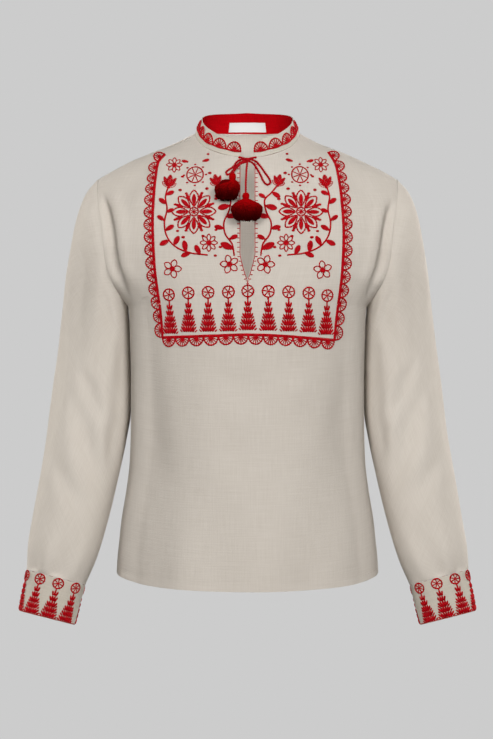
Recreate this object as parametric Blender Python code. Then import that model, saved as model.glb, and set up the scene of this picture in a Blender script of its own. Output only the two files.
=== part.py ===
"""Vyshyvanka shirt, filled out as if worn, hollow.

Frame: origin at the centre of the neck base (level with the shoulder neck
points), +Z up, the front faces -Y, +X is to the right of someone who looks at
the front. Sizes in the tables are millimetres; meshes are made in metres.

Cut: front with a keyhole slit, back, two set-in sleeves, two band cuffs, a
stand collar that is open at the centre front, its facing, a label, two tie
cords in a half bow with a pompom on each free end.
"""
import math

import bpy
import numpy as np

# ---------------------------------------------------------------- sizes (mm)
CLOTH = 1.2        # linen wall
BAND = 2.0         # cuff wall (two layers of linen)
COLLAR_WALL = 1.3  # outer layer of the collar band
FACING_WALL = 1.0  # coloured inner layer of the collar band
SEAM = 0.3         # gap kept at every seam
LABEL_W, LABEL_H, LABEL_T = 55.0, 14.0, 0.6

NECK_HALF = 76.0       # half width of the neck seam
SHOULDER_HALF = 217.0  # shoulder point to centre
SHOULDER_Z = -62.0
UNDERARM_Z = -246.0
UNDERARM_HALF = 172.0
SLIT_HALF = 9.6        # half width of the open slit
SLIT_TAPER_Z = -177.0  # the slit narrows below this
SLIT_TIP_Z = -210.0
HEM_SIDE_Z = -629.0

# cells of the faceted cloth
SIDE_COLS = 11      # from side seam to neck point
BACK_NECK_COLS = 5  # from neck point to centre back
LOW_ROWS = 8        # hem to underarm
TOP_ROWS = 10       # underarm to shoulder

P_TOP = 2.35    # roundness of the body's columns along its top edge
P_SLEEVE = 2.2  # roundness of the sleeve's sections

# body sections: height, half width, front depth, back depth, squareness
BODY = (
    # z, half, front, back, power
    (-660, 190.5, 117, 119, 2.35),
    (-613, 188.5, 114, 116, 2.35),
    (-584, 185.6, 112, 113, 2.35),
    (-555, 182.5, 110, 110, 2.35),
    (-512, 175.5, 108, 105, 2.35),
    (-470, 170.5, 107, 100, 2.35),
    (-425, 169.0, 107, 97, 2.4),
    (-350, 168.5, 110, 97, 2.6),
    (-290, 170.0, 115, 101, 2.8),
    (-246, 172.0, 119, 105, 3.0),
    (-244.5, 173.6, 119, 105, 3.0),
    (-241, 176.8, 119.2, 105.3, 2.95),
    (-228, 189.0, 119.8, 106.4, 2.75),
    (-208, 211.0, 120, 108, 2.5),
    (-181, 229.0, 119, 110, 2.35),
    (-155, 243.0, 118, 111, 2.35),
    (-130, 249.0, 117, 111, 2.35),
    (-62, 252.0, 115, 109, 2.35),
    (60, 252.0, 114, 108, 2.35),
)
# armhole seam seen from the front: height, distance from centre
ARMHOLE = (
    # z, x
    (-246, 172.0),
    (-243, 174.5),
    (-225, 186.0),
    (-207, 195.5),
    (-181, 203.0),
    (-155, 205.5),
    (-130, 208.0),
    (-100, 213.0),
    (-62, 217.0),
)
# shoulder line: distance from centre, height (above the neck it is a guide)
SHOULDER = (
    # x, z
    (0, 27.0),
    (24, 25.0),
    (45, 19.8),
    (61, 14.2),
    (72, 9.4),
    (76, 5.0),
    (86, -1.5),
    (103, -9.5),
    (121, -16.5),
    (138, -23.0),
    (156, -31.0),
    (173, -39.0),
    (190, -47.0),
    (217, -62.0),
    (260, -86.0),
)
ROUND_FRONT = 170.0  # how far below the shoulder line the front rounds over
ROUND_BACK = 120.0
NECK_EASE = 0.28

# neck seam and collar rim round the neck: angle from centre back, heights
COLLAR = (
    # degrees, seam height, rim height
    (0, 10.0, 41.0),
    (45, 9.0, 37.0),
    (90, 5.0, 26.0),
    (110, -8.0, 15.0),
    (125, -19.0, 6.5),
    (145, -29.0, -4.0),
    (165, -36.0, -10.0),
    (180, -38.5, -12.0),
)
RIM_HALF, RIM_Y, RIM_FRONT, RIM_BACK = 66.5, -4.0, 72.0, 57.0
CORNER_REACH = 21.0  # rounded front corner of the collar, along the seam
CORNER_KEEP = 0.36   # share of the collar's height left at its front edge
FRONT_NECK_ANGLES = (90.0, 106.0, 122.0, 138.0, 153.0, 165.0)  # and the slit edge

# sleeve rings: station, outer x z, inner x z, middle y, half depth, bow, and
# tilt, by which the front of a ring is higher than its middle
SLEEVE = (
    # s, ox, oz, ix, iz, y, depth, bow, tilt
    (0, 217.0, -62.0, 172.0, -246.0, 0.0, 68.0, 9.0, 0.0),
    (1, 234.5, -84.0, 173.2, -252.5, 2.0, 67.0, 10.0, 0.0),
    (2, 247.5, -118.0, 173.4, -263.0, 5.0, 65.0, 8.0, 0.0),
    (3, 256.5, -160.0, 173.0, -278.0, 9.0, 62.0, 5.0, 0.0),
    (4, 264.0, -205.0, 172.4, -298.0, 13.0, 58.0, 2.5, 0.0),
    (5, 268.5, -250.0, 171.6, -322.0, 17.0, 55.5, 1.0, 0.0),
    (6, 275.0, -305.0, 171.0, -358.0, 20.0, 53.0, 0.0, 0.0),
    (7, 283.5, -365.0, 171.0, -398.0, 21.0, 51.0, 0.0, 0.01),
    (8, 291.8, -427.0, 176.5, -440.0, 19.0, 49.0, 0.0, 0.03),
    (9, 301.0, -488.0, 189.0, -499.0, 13.0, 47.0, 0.0, 0.06),
    (10, 310.5, -545.0, 203.5, -560.0, 6.0, 44.0, 0.0, 0.09),
    (11, 318.5, -596.0, 219.0, -612.0, 0.0, 40.0, 0.0, 0.11),
    (12, 319.9, -627.0, 235.1, -649.1, -3.0, 32.0, 0.0, 0.12),
)
# cuff rings: outer x z, inner x z, middle y, half depth
CUFF_TILT = 0.12
CUFF = (
    (320.0, -627.5, 235.2, -649.6, -3.0, 32.0),
    (325.3, -657.0, 242.9, -678.3, -4.0, 31.2),
    (330.2, -686.5, 250.6, -706.8, -5.0, 30.5),
)

# tie: diameter, and the routes seen from the front as x z, with the height of
# the cord's middle above the cloth
CORD = 2.4
LEAD_LEFT = ((-12.6, -37.2, 2.0), (-8.4, -38.0, 2.4), (-3.6, -39.4, 3.4))
LEAD_RIGHT = ((12.6, -37.4, 2.0), (8.2, -38.2, 2.4), (2.8, -39.6, 3.4))
LOOP_LEFT = (
    (-5.5, -41.0, 5.7), (-11.0, -41.8, 4.2), (-16.4, -44.8, 2.6),
    (-20.6, -51.6, 2.0), (-26.6, -56.2, 2.0), (-30.0, -59.4, 2.0),
    (-28.2, -62.2, 2.0), (-23.6, -60.6, 2.2), (-18.4, -55.4, 2.4),
    (-13.6, -49.6, 2.8), (-8.8, -45.4, 4.0), (-5.1, -43.9, 5.0),
)
LOOP_RIGHT = (
    (4.9, -41.2, 5.7), (11.6, -43.6, 4.2), (18.0, -50.6, 2.6),
    (24.2, -60.2, 2.0), (29.8, -69.6, 2.0), (31.2, -75.0, 2.0),
    (27.6, -76.4, 2.0), (23.6, -71.6, 2.0), (18.6, -62.4, 2.2),
    (12.8, -53.4, 2.8), (8.0, -47.0, 4.0), (4.2, -44.5, 5.0),
)
END_LEFT = (
    (-3.2, -45.5, 5.3), (-7.0, -50.4, 6.8), (-12.2, -55.6, 8.4),
    (-17.0, -60.0, 9.8), (-20.0, -63.0, 11.2),
)
END_CENTRE = (
    (-0.2, -45.8, 5.5), (-1.0, -53.0, 5.8), (-1.7, -62.0, 7.0),
    (-2.2, -74.0, 9.8), (-2.3, -84.0, 13.4), (-2.3, -91.4, 16.6),
)
KNOT = (-0.4, -41.2, 5.0, 4.3, 3.3, 3.9)  # x z lift, and half sizes x y z
# pompoms: neck knob x z, body x z, lift, half width, half depth, half height
POMPOM_LEFT = (-20.9, -67.6, -28.3, -85.0, 17.6, 17.4, 16.0, 15.6)
POMPOM_CENTRE = (-2.3, -95.6, -1.4, -115.2, 20.6, 22.4, 19.0, 15.2)


# ----------------------------------------------------------------- functions
def smooth_table(rows, column):
    """Monotone cubic through one column of a table; returns a function."""
    table = np.array([[r[0], r[column]] for r in rows], float)
    x, y = table[:, 0], table[:, 1]
    h, d = np.diff(x), np.diff(y) / np.diff(x)
    m = np.zeros(len(x))
    m[0], m[-1] = d[0], d[-1]
    for i in range(1, len(x) - 1):
        if d[i - 1] * d[i] > 0:
            w1, w2 = 2 * h[i] + h[i - 1], h[i] + 2 * h[i - 1]
            m[i] = (w1 + w2) / (w1 / d[i - 1] + w2 / d[i])

    def at(q):
        q = np.clip(np.asarray(q, float), x[0], x[-1])
        i = np.clip(np.searchsorted(x, q, side="right") - 1, 0, len(x) - 2)
        t = (q - x[i]) / h[i]
        return (
            (1 + 2 * t) * (1 - t) ** 2 * y[i]
            + t * (1 - t) ** 2 * h[i] * m[i]
            + t * t * (3 - 2 * t) * y[i + 1]
            + t * t * (t - 1) * h[i] * m[i + 1]
        )

    return at


half_at = smooth_table(BODY, 1)
front_at = smooth_table(BODY, 2)
back_at = smooth_table(BODY, 3)
power_at = smooth_table(BODY, 4)
armhole_at = smooth_table(ARMHOLE, 1)
shoulder_at = smooth_table(SHOULDER, 1)
seam_height = smooth_table(COLLAR, 1)
rim_height = smooth_table(COLLAR, 2)
sleeve_at = [smooth_table(SLEEVE, c) for c in range(1, 9)]


def depth(x, z, side):
    """Distance of the body's surface in front of (side -1) or behind (+1) the
    shoulder line, with its sign."""
    x = np.abs(np.asarray(x, float))
    z = np.asarray(z, float)
    power = power_at(z)
    section = np.clip(1 - np.minimum(x / half_at(z), 1) ** power, 0, 1) ** (1 / power)
    reach = ROUND_FRONT if side < 0 else ROUND_BACK
    below = np.clip((shoulder_at(x) - z) / reach, 0, 1)
    # beside the neck the front slopes away more gently than at the shoulder
    near = np.clip((135 - x) / 70, 0, 1) if side < 0 else 0 * x
    ease = 0.5 + NECK_EASE * near * near * (3 - 2 * near)
    over = np.clip(1 - (1 - below) ** 2.2, 0, 1) ** ease
    return side * (front_at(z) if side < 0 else back_at(z)) * section * over


def hem_height(share):
    """Height of the hem, share is 0 at centre and 1 at the side seam."""
    return -648.5 + 9.0 * share**2 + 10.5 * share**14


def slit_half(z):
    """Half width of the slit's opening at a height."""
    t = np.clip((np.asarray(z, float) - SLIT_TIP_Z) / (SLIT_TAPER_Z - SLIT_TIP_Z), 0, 1)
    return SLIT_HALF * t**0.75


def column_shares(side):
    """Places of a half panel's columns at its top edge, from side to centre."""
    full = SHOULDER_HALF
    last = math.acos((NECK_HALF / full) ** (P_TOP / 2))
    out = [full * math.cos(last * k / SIDE_COLS) ** (2 / P_TOP) for k in range(SIDE_COLS + 1)]
    if side < 0:
        out += [NECK_HALF * math.sin(math.radians(a)) for a in FRONT_NECK_ANGLES[1:]]
        out.append(SLIT_HALF)
        return [(x - SLIT_HALF) / (full - SLIT_HALF) for x in out]
    out += [NECK_HALF * math.cos(math.radians(90.0 * k / BACK_NECK_COLS)) for k in range(1, BACK_NECK_COLS + 1)]
    return [max(x, 0.0) / full for x in out]


def top_height(x, side):
    """Height of a panel's top edge: shoulder seam, then neck seam."""
    if x >= NECK_HALF - 1e-6:
        return float(shoulder_at(x))
    turn = math.degrees(math.asin(max(min(x / NECK_HALF, 1.0), 0.0)))
    return float(seam_height(180.0 - turn if side < 0 else turn))


def rows_up():
    low = [k / LOW_ROWS for k in range(LOW_ROWS + 1)]
    top = [(1 - math.cos(math.pi * k / TOP_ROWS)) / 2 for k in range(1, TOP_ROWS + 1)]
    return [(0, g) for g in low] + [(1, f) for f in top]


def half_grid(side):
    """Rows from hem to top of a half panel, columns from side to centre."""
    shares = column_shares(side)
    w_top = SLIT_HALF if side < 0 else 0.0
    grid = []
    for part, f in rows_up():
        row = []
        for c in shares:
            middle = UNDERARM_Z + (SLIT_TIP_Z - UNDERARM_Z) * (1 - c * c)
            if part == 0:
                z_side = HEM_SIDE_Z + (UNDERARM_Z - HEM_SIDE_Z) * f
                hem = float(hem_height(c))
                z = hem + (middle - hem) * f
                x = c * float(half_at(z_side))
            else:
                z_side = UNDERARM_Z + (SHOULDER_Z - UNDERARM_Z) * f
                x_top = w_top + (SHOULDER_HALF - w_top) * c
                z = middle + (top_height(x_top, side) - middle) * f
                w = float(slit_half(z)) if side < 0 else 0.0
                x = w + (float(armhole_at(z_side)) - w) * c
            y = float(depth(x, z, side))
            if c == shares[0] and part == 0:
                y = 0.0
            row.append((x, y, z))
        grid.append(row)
    return grid


def unit(v):
    v = np.asarray(v, float)
    return v / max(np.linalg.norm(v), 1e-12)


def split(quad):
    """Two triangles, the diagonal always from the quad's lowest index."""
    k = quad.index(min(quad))
    a, b, c, d = quad[k:] + quad[:k]
    return [[a, b, c], [a, c, d]]


def sheet_normals(points, faces):
    """Area weighted normals of an open sheet's points."""
    p = np.asarray(points, float)
    n = np.zeros_like(p)
    for f in faces:
        a = np.cross(p[f[2]] - p[f[0]], p[f[3]] - p[f[1]])
        for i in f:
            n[i] += a
    return n / np.maximum(np.linalg.norm(n, axis=1), 1e-12)[:, None]


def thick(name, points, faces, normals, wall, colour, rough=0.85, shift=0.0):
    """A wall: the sheet, its copy moved in by the wall, and its rims."""
    p = np.asarray(points, float) - shift * normals
    inner = p - wall * normals
    n = len(p)
    edges = {}
    # one diagonal rule for every sheet, so that parallel sheets keep their gap
    faces = [t for f in faces for t in (split(f) if len(f) == 4 else [list(f)])]
    for f in faces:
        for a, b in zip(f, f[1:] + f[:1]):
            edges[(a, b)] = True
    solid = [tuple(f) for f in faces] + [tuple(i + n for i in reversed(f)) for f in faces]
    for a, b in edges:
        if (b, a) not in edges:
            solid.append((b, a, a + n, b + n))
    mesh = bpy.data.meshes.new(name)
    mesh.from_pydata([tuple(v * 0.001) for v in np.vstack([p, inner])], [], solid)
    mesh.validate()
    return finish(name, mesh, colour, rough)


def finish(name, mesh, colour, rough=0.85):
    material = bpy.data.materials.new(name + "_finish")
    material.use_nodes = True
    shader = material.node_tree.nodes["Principled BSDF"]
    shader.inputs["Base Color"].default_value = (*colour, 1.0)
    shader.inputs["Roughness"].default_value = rough
    shader.inputs["Metallic"].default_value = 0.0
    mesh.materials.append(material)
    mesh.shade_smooth()
    mesh.set_sharp_from_angle(angle=math.radians(50))
    obj = bpy.data.objects.new(name, mesh)
    bpy.context.scene.collection.objects.link(obj)
    return obj


LINEN = (0.60, 0.53, 0.45)
RED = (0.50, 0.010, 0.016)
DARK_RED = (0.23, 0.004, 0.008)
WHITE = (0.80, 0.79, 0.76)


def mirror(points):
    out = np.array(points, float)
    out[:, 0] *= -1
    return out


# --------------------------------------------------------------- body panels
def make_front():
    """Both halves share the centre column up to the tip of the slit."""
    grid = half_grid(-1)
    rows, cols = len(grid), len(grid[0])
    points, index = [], {}
    for half in (-1, 1):
        for i in range(rows):
            for k in range(cols):
                shared = k == cols - 1 and i <= LOW_ROWS
                if shared and half == 1:
                    index[(half, i, k)] = index[(-1, i, k)]
                    continue
                x, y, z = grid[i][k]
                index[(half, i, k)] = len(points)
                points.append((0.0 if shared else half * x, y, z))
    faces = []
    for half in (-1, 1):
        for i in range(rows - 1):
            for k in range(cols - 1):
                a, b = index[(half, i, k)], index[(half, i, k + 1)]
                c, d = index[(half, i + 1, k + 1)], index[(half, i + 1, k)]
                faces.append([a, b, c, d] if half < 0 else [b, a, d, c])
    normals = sheet_normals(points, faces)
    points = np.array(points, float)
    seam_edges(points, normals, index, rows, cols, -1)
    return thick("front", points, faces, normals, CLOTH, LINEN)


def seam_edges(points, normals, index, rows, cols, side):
    """Side and shoulder seam edges: the wall's rim lies in a plane of constant
    y, half a seam gap off the seam."""
    for half in (-1, 1):
        for i in range(rows):
            for k in range(cols):
                at_side = k == 0 and i <= LOW_ROWS
                at_shoulder = i == rows - 1 and k <= SIDE_COLS
                if at_side or at_shoulder:
                    v = index[(half, i, k)]
                    points[v, 1] = side * SEAM / 2
                    if at_side:
                        normals[v] = (half, 0, 0)
                    else:
                        n = normals[v].copy()
                        n[1] = 0
                        normals[v] = unit(n)


def make_back():
    grid = half_grid(1)
    rows, cols = len(grid), len(grid[0])
    points, index = [], {}
    for half in (-1, 1):
        for i in range(rows):
            for k in range(cols):
                shared = k == cols - 1
                if shared and half == 1:
                    index[(half, i, k)] = index[(-1, i, k)]
                    continue
                x, y, z = grid[i][k]
                index[(half, i, k)] = len(points)
                points.append((0.0 if shared else half * x, y, z))
    faces = []
    for half in (-1, 1):
        for i in range(rows - 1):
            for k in range(cols - 1):
                a, b = index[(half, i, k)], index[(half, i, k + 1)]
                c, d = index[(half, i + 1, k + 1)], index[(half, i + 1, k)]
                faces.append([b, a, d, c] if half < 0 else [a, b, c, d])
    normals = sheet_normals(points, faces)
    points = np.array(points, float)
    seam_edges(points, normals, index, rows, cols, 1)
    return thick("back", points, faces, normals, CLOTH, LINEN)


# ------------------------------------------------------------------- sleeves
def ring_point(ox, oz, ix, iz, y, half_depth, bow, tilt, turn):
    """A point of a ring; turn is 0 outside, 90 in front, 180 inside."""
    c, s = math.cos(math.radians(turn)), math.sin(math.radians(turn))
    cc = math.copysign(abs(c) ** (2 / P_SLEEVE), c)
    ss = math.copysign(abs(s) ** (2 / P_SLEEVE), s)
    ex, ez = (ox - ix) / 2, (oz - iz) / 2
    length = math.hypot(ex, ez)
    # outward and down, square to the ring's width
    bx, bz = ez / length, -ex / length
    if bx < 0:
        bx, bz = -bx, -bz
    return (
        (ox + ix) / 2 + ex * cc + bx * bow * s * s,
        y - half_depth * ss,
        (oz + iz) / 2 + ez * cc + bz * bow * s * s + tilt * half_depth * ss,
    )


def armhole_loop():
    """Points of the armhole seam with their turns, on the body's own edge."""
    front, back = half_grid(-1), half_grid(1)
    loop = []
    for k in range(TOP_ROWS, 0, -1):  # front, from the shoulder down
        loop.append((180.0 * (TOP_ROWS - k) / TOP_ROWS, front[LOW_ROWS + k][0]))
    loop.append((180.0, (UNDERARM_HALF, 0.0, UNDERARM_Z)))
    for k in range(1, TOP_ROWS):  # back, up to the shoulder
        loop.append((180.0 + 180.0 * k / TOP_ROWS, back[LOW_ROWS + k][0]))
    return loop


def body_normal(p, side):
    """Normal of the body's surface at an armhole point of the +X side."""
    x, z, e = p[0] - 1.5, p[2] - 1.0, 1.0
    y = [float(depth(a, b, side)) for a, b in ((x + e, z), (x - e, z), (x, z + e), (x, z - e))]
    return unit((-side * (y[0] - y[1]) / (2 * e), side, -side * (y[2] - y[3]) / (2 * e)))


def make_sleeve(name, half):
    loop = armhole_loop()
    count = len(loop)
    points, faces = [], []
    stations = [r[0] for r in SLEEVE]
    first = [ring_point(*[float(t(0)) for t in sleeve_at], turn) for turn, _ in loop]
    for s in stations:
        sizes = [float(t(s)) for t in sleeve_at]
        blend = max(0.0, 1 - s / 3.5) ** 2
        for j, (turn, seam) in enumerate(loop):
            x, y, z = ring_point(*sizes, turn)
            if s == 0:
                x, y, z = seam[0] + SEAM + 0.05, seam[1], seam[2]
            else:
                x += (seam[0] + SEAM - first[j][0]) * blend
                y += (seam[1] - first[j][1]) * blend
                z += (seam[2] - first[j][2]) * blend
            points.append((x, y, z))
    for i in range(len(stations) - 1):
        for j in range(count):
            a, b = i * count + j, i * count + (j + 1) % count
            c, d = (i + 1) * count + (j + 1) % count, (i + 1) * count + j
            faces.append([a, b, c, d] if half > 0 else [b, a, d, c])
    points = np.array(points, float)
    points[:, 0] *= half
    normals = sheet_normals(points, faces)
    for j, (turn, seam) in enumerate(loop):
        if turn <= 110 or turn >= 250:  # the rim lies along the body's own rim
            n = body_normal(seam, -1 if turn < 180 else 1) if turn else (0.43, 0, 0.9)
            normals[j] = unit((half * n[0], n[1], n[2]))
    return thick(name, points, faces, normals, CLOTH, LINEN)


def make_cuff(name, half):
    turns = [360.0 * k / 24 for k in range(24)]
    points, faces = [], []
    for ox, oz, ix, iz, y, d in CUFF:
        for turn in turns:
            points.append(ring_point(ox, oz, ix, iz, y, d, 0.0, CUFF_TILT, turn))
    for i in range(len(CUFF) - 1):
        for j in range(24):
            a, b = i * 24 + j, i * 24 + (j + 1) % 24
            c, d = (i + 1) * 24 + (j + 1) % 24, (i + 1) * 24 + j
            faces.append([a, b, c, d] if half > 0 else [b, a, d, c])
    points = np.array(points, float)
    points[:, 0] *= half
    normals = sheet_normals(points, faces)
    # the band's rims are square to its own axis
    axis = unit((half * 0.2249, -CUFF_TILT, -0.9744))
    normals -= np.outer(normals @ axis, axis)
    normals /= np.linalg.norm(normals, axis=1)[:, None]
    return thick(name, points, faces, normals, BAND, LINEN)


# -------------------------------------------------------------------- collar
def neck_seam_point(turn):
    """turn: degrees from centre back, positive to +X; on the body's edge."""
    a = abs(turn)
    x = NECK_HALF * math.sin(math.radians(a))
    z = float(seam_height(a))
    y = float(depth(x, z, -1 if a > 90 else 1))
    return np.array([math.copysign(x, turn) if turn else 0.0, y, z])


def rim_point(turn):
    a = math.radians(abs(turn))
    x = RIM_HALF * math.sin(a)
    y = RIM_Y + (RIM_BACK if math.cos(a) > 0 else RIM_FRONT) * math.cos(a)
    return np.array([math.copysign(x, turn) if turn else 0.0, y, float(rim_height(abs(turn)))])


def collar_turns():
    edge = 180.0 - math.degrees(math.asin(SLIT_HALF / NECK_HALF))
    half = [90.0 * k / BACK_NECK_COLS for k in range(BACK_NECK_COLS)] + list(FRONT_NECK_ANGLES) + [edge]
    return [-t for t in reversed(half[1:])] + half


def collar_grid(levels):
    """Columns round the neck, rows from the seam to the rim."""
    turns = collar_turns()
    base = [neck_seam_point(t) for t in turns]
    edge_x = SLIT_HALF
    rows = []
    for h in levels:
        row = []
        for t, b in zip(turns, base):
            r = rim_point(t)
            keep = 1.0
            if abs(t) > 120:
                off = min(max((abs(b[0]) - edge_x) / CORNER_REACH, 0.0), 1.0)
                keep = CORNER_KEEP + (1 - CORNER_KEEP) * math.sqrt(max(1 - (1 - off) ** 2, 0.0))
            up = r - b
            start = b + unit(up) * (SEAM + 0.25)
            end = b + up * keep
            p = start + (end - start) * h
            row.append(p)
        rows.append(row)
    return turns, rows


def collar_sheet():
    turns, rows = collar_grid((0.0, 0.5, 1.0))
    cols = len(turns)
    points = [p for row in rows for p in row]
    faces = []
    for i in range(len(rows) - 1):
        for k in range(cols - 1):
            a, b = i * cols + k, i * cols + k + 1
            c, d = (i + 1) * cols + k + 1, (i + 1) * cols + k
            faces.append([b, a, d, c])
    return turns, points, faces, sheet_normals(points, faces)


def make_collar():
    _, points, faces, normals = collar_sheet()
    thick("collar", points, faces, normals, COLLAR_WALL, LINEN)
    thick("collar_facing", points, faces, normals, FACING_WALL, RED, shift=COLLAR_WALL + SEAM)


def make_label():
    """A strip on the facing at centre back, made from the facing's points."""
    turns, points, faces, normals = collar_sheet()
    cols = len(turns)
    p = np.array(points, float)
    half_turn = math.degrees(LABEL_W / 2 / 66.0)
    places = sorted({-half_turn, half_turn, *[t for t in turns if abs(t) < half_turn]})
    inset = COLLAR_WALL + SEAM + FACING_WALL + SEAM + 0.1

    def at(turn, h):
        k = max(i for i in range(cols - 1) if turns[i] <= turn + 1e-9)
        f = (turn - turns[k]) / (turns[k + 1] - turns[k])
        i = 0 if h < 0.5 else 1
        g = (h - 0.5 * i) / 0.5

        def mix(q):
            low = q[i * cols + k] * (1 - f) + q[i * cols + k + 1] * f
            high = q[(i + 1) * cols + k] * (1 - f) + q[(i + 1) * cols + k + 1] * f
            return low * (1 - g) + high * g

        return mix(p - inset * normals), mix(normals)

    height = float(np.linalg.norm(rim_point(0) - neck_seam_point(0)))
    low, high = 3.0 / height, (3.0 + LABEL_H) / height
    sheet, across = [], []
    for h in (low, 0.5, high):
        for t in places:
            q, n = at(t, h)
            sheet.append(q)
            across.append(unit(n))
    m = len(places)
    faces = [[i * m + k + 1, i * m + k, (i + 1) * m + k, (i + 1) * m + k + 1] for i in range(2) for k in range(m - 1)]
    thick("label", sheet, faces, np.array(across), LABEL_T, WHITE, rough=0.6)


# ----------------------------------------------------------------------- tie
def on_front(x, z, lift):
    """A point in front of the cloth, lift measured straight out."""
    return np.array([x, float(depth(x, z, -1)) - lift, z])


def smooth_route(points, step):
    """Catmull-Rom through the points, read every step."""
    p = [np.asarray(q, float) for q in points]
    p = [2 * p[0] - p[1]] + p + [2 * p[-1] - p[-2]]
    fine = []
    for i in range(1, len(p) - 2):
        for k in range(24):
            t = k / 24
            fine.append(0.5 * (2 * p[i] + (p[i + 1] - p[i - 1]) * t
                               + (2 * p[i - 1] - 5 * p[i] + 4 * p[i + 1] - p[i + 2]) * t**2
                               + (3 * p[i] - p[i - 1] - 3 * p[i + 1] + p[i + 2]) * t**3))
    fine.append(p[-2])
    fine = np.array(fine)
    run = np.concatenate([[0], np.cumsum(np.linalg.norm(np.diff(fine, axis=0), axis=1))])
    count = max(2, int(round(run[-1] / step)) + 1)
    want = np.linspace(0, run[-1], count)
    return np.stack([np.interp(want, run, fine[:, c]) for c in range(3)], axis=1)


def make_cord(name, route):
    """A round cord along a route of x z lift."""
    middle = smooth_route([on_front(*q) for q in route], CORD * 2.3)
    curve = bpy.data.curves.new(name, "CURVE")
    curve.dimensions = "3D"
    curve.bevel_depth = CORD / 2 * 0.001
    curve.bevel_resolution = 2
    curve.use_fill_caps = True
    spline = curve.splines.new("POLY")
    spline.points.add(len(middle) - 1)
    for point, q in zip(spline.points, middle):
        point.co = (*(q * 0.001), 1.0)
    material = bpy.data.materials.new(name + "_finish")
    material.use_nodes = True
    shader = material.node_tree.nodes["Principled BSDF"]
    shader.inputs["Base Color"].default_value = (*RED, 1.0)
    shader.inputs["Roughness"].default_value = 0.7
    curve.materials.append(material)
    obj = bpy.data.objects.new(name, curve)
    bpy.context.scene.collection.objects.link(obj)
    return obj


def turned(name, foot, top, profile, widths, colour, sides=14):
    """A closed turned solid along the line from top to foot. profile rows are
    share of the way down and radius share; widths are half sizes x and y."""
    foot, top = np.asarray(foot, float), np.asarray(top, float)
    down = foot - top
    points, faces = [tuple(top)], []
    for share, radius in profile:
        centre = top + down * share
        for k in range(sides):
            a = 2 * math.pi * k / sides
            points.append((centre[0] + widths[0] * radius * math.cos(a),
                           centre[1] + widths[1] * radius * math.sin(a), centre[2]))
    points.append(tuple(foot))
    rings = len(profile)
    for k in range(sides):
        n = (k + 1) % sides
        faces.append((0, 1 + k, 1 + n))
        for r in range(rings - 1):
            a, b = 1 + r * sides + k, 1 + r * sides + n
            faces.append((a, a + sides, b + sides, b))
        last = 1 + (rings - 1) * sides
        faces.append((last + k, len(points) - 1, last + n))
    mesh = bpy.data.meshes.new(name)
    mesh.from_pydata([tuple(np.array(p) * 0.001) for p in points], [], faces)
    mesh.validate()
    return finish(name, mesh, colour, 0.9)


def make_pompom(name, spec):
    kx, kz, bx, bz, lift, hw, hd, hh = spec
    y = float(depth(bx, bz, -1)) - lift
    top = np.array([kx, y, kz + 3.6])
    foot = np.array([bx - (kx - bx) * 0.35, y, bz - hh])
    knob = 4.6 / hw
    total = top[2] - foot[2]
    neck = 8.4 / total
    profile = [(0.02, knob * 0.6), (neck * 0.45, knob), (neck * 0.9, knob * 0.72)]
    for a in (150, 128, 104, 80, 56, 32, 14):
        share = neck + (1 - neck) * (1 + math.cos(math.radians(a))) / 2
        profile.append((share, math.sin(math.radians(a)) ** 0.8))
    return turned(name, foot, top, profile, (hw, hd), DARK_RED)


def make_knot():
    x, z, lift, hx, hy, hz = KNOT
    c = on_front(x, z, lift)
    profile = [((1 - math.cos(math.radians(a))) / 2, math.sin(math.radians(a))) for a in (25, 50, 75, 105, 130, 155)]
    return turned("tie_knot", c - (0, 0, hz), c + (0, 0, hz), profile, (hx, hy), RED, 10)


def main():
    for obj in list(bpy.data.objects):
        bpy.data.objects.remove(obj, do_unlink=True)
    make_front()
    make_back()
    make_sleeve("sleeve_left", -1)
    make_sleeve("sleeve_right", 1)
    make_cuff("cuff_left", -1)
    make_cuff("cuff_right", 1)
    make_collar()
    make_label()
    make_cord("tie_lead_left", LEAD_LEFT)
    make_cord("tie_lead_right", LEAD_RIGHT)
    make_cord("tie_loop_left", LOOP_LEFT)
    make_cord("tie_loop_right", LOOP_RIGHT)
    make_cord("tie_end_left", END_LEFT)
    make_cord("tie_end_centre", END_CENTRE)
    make_knot()
    make_pompom("pompom_left", POMPOM_LEFT)
    make_pompom("pompom_centre", POMPOM_CENTRE)


main()
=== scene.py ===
"""Visual model of the vyshyvanka shirt: cloth shells with creases, embroidery
made of single stitches, tie cords and pompoms. Same frame as the CAD: metres,
+Z up, the front faces -Y. Sizes in the tables are millimetres."""
import math

import bpy
import numpy as np
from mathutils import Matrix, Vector


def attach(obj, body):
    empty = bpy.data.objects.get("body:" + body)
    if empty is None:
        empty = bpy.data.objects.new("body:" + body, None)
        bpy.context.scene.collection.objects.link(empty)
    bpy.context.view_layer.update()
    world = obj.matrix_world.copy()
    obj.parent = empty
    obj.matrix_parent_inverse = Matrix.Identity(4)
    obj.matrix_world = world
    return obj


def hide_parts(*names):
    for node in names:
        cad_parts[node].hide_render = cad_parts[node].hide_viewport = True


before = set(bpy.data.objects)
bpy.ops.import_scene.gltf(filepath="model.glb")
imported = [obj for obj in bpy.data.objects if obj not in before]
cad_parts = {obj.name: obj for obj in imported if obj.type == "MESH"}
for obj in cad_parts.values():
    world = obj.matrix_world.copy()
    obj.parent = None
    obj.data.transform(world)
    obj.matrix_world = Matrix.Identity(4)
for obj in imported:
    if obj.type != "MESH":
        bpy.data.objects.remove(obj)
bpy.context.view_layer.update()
scene = bpy.context.scene
scene.view_settings.view_transform = "Standard"
scene.view_settings.look = "None"

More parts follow.
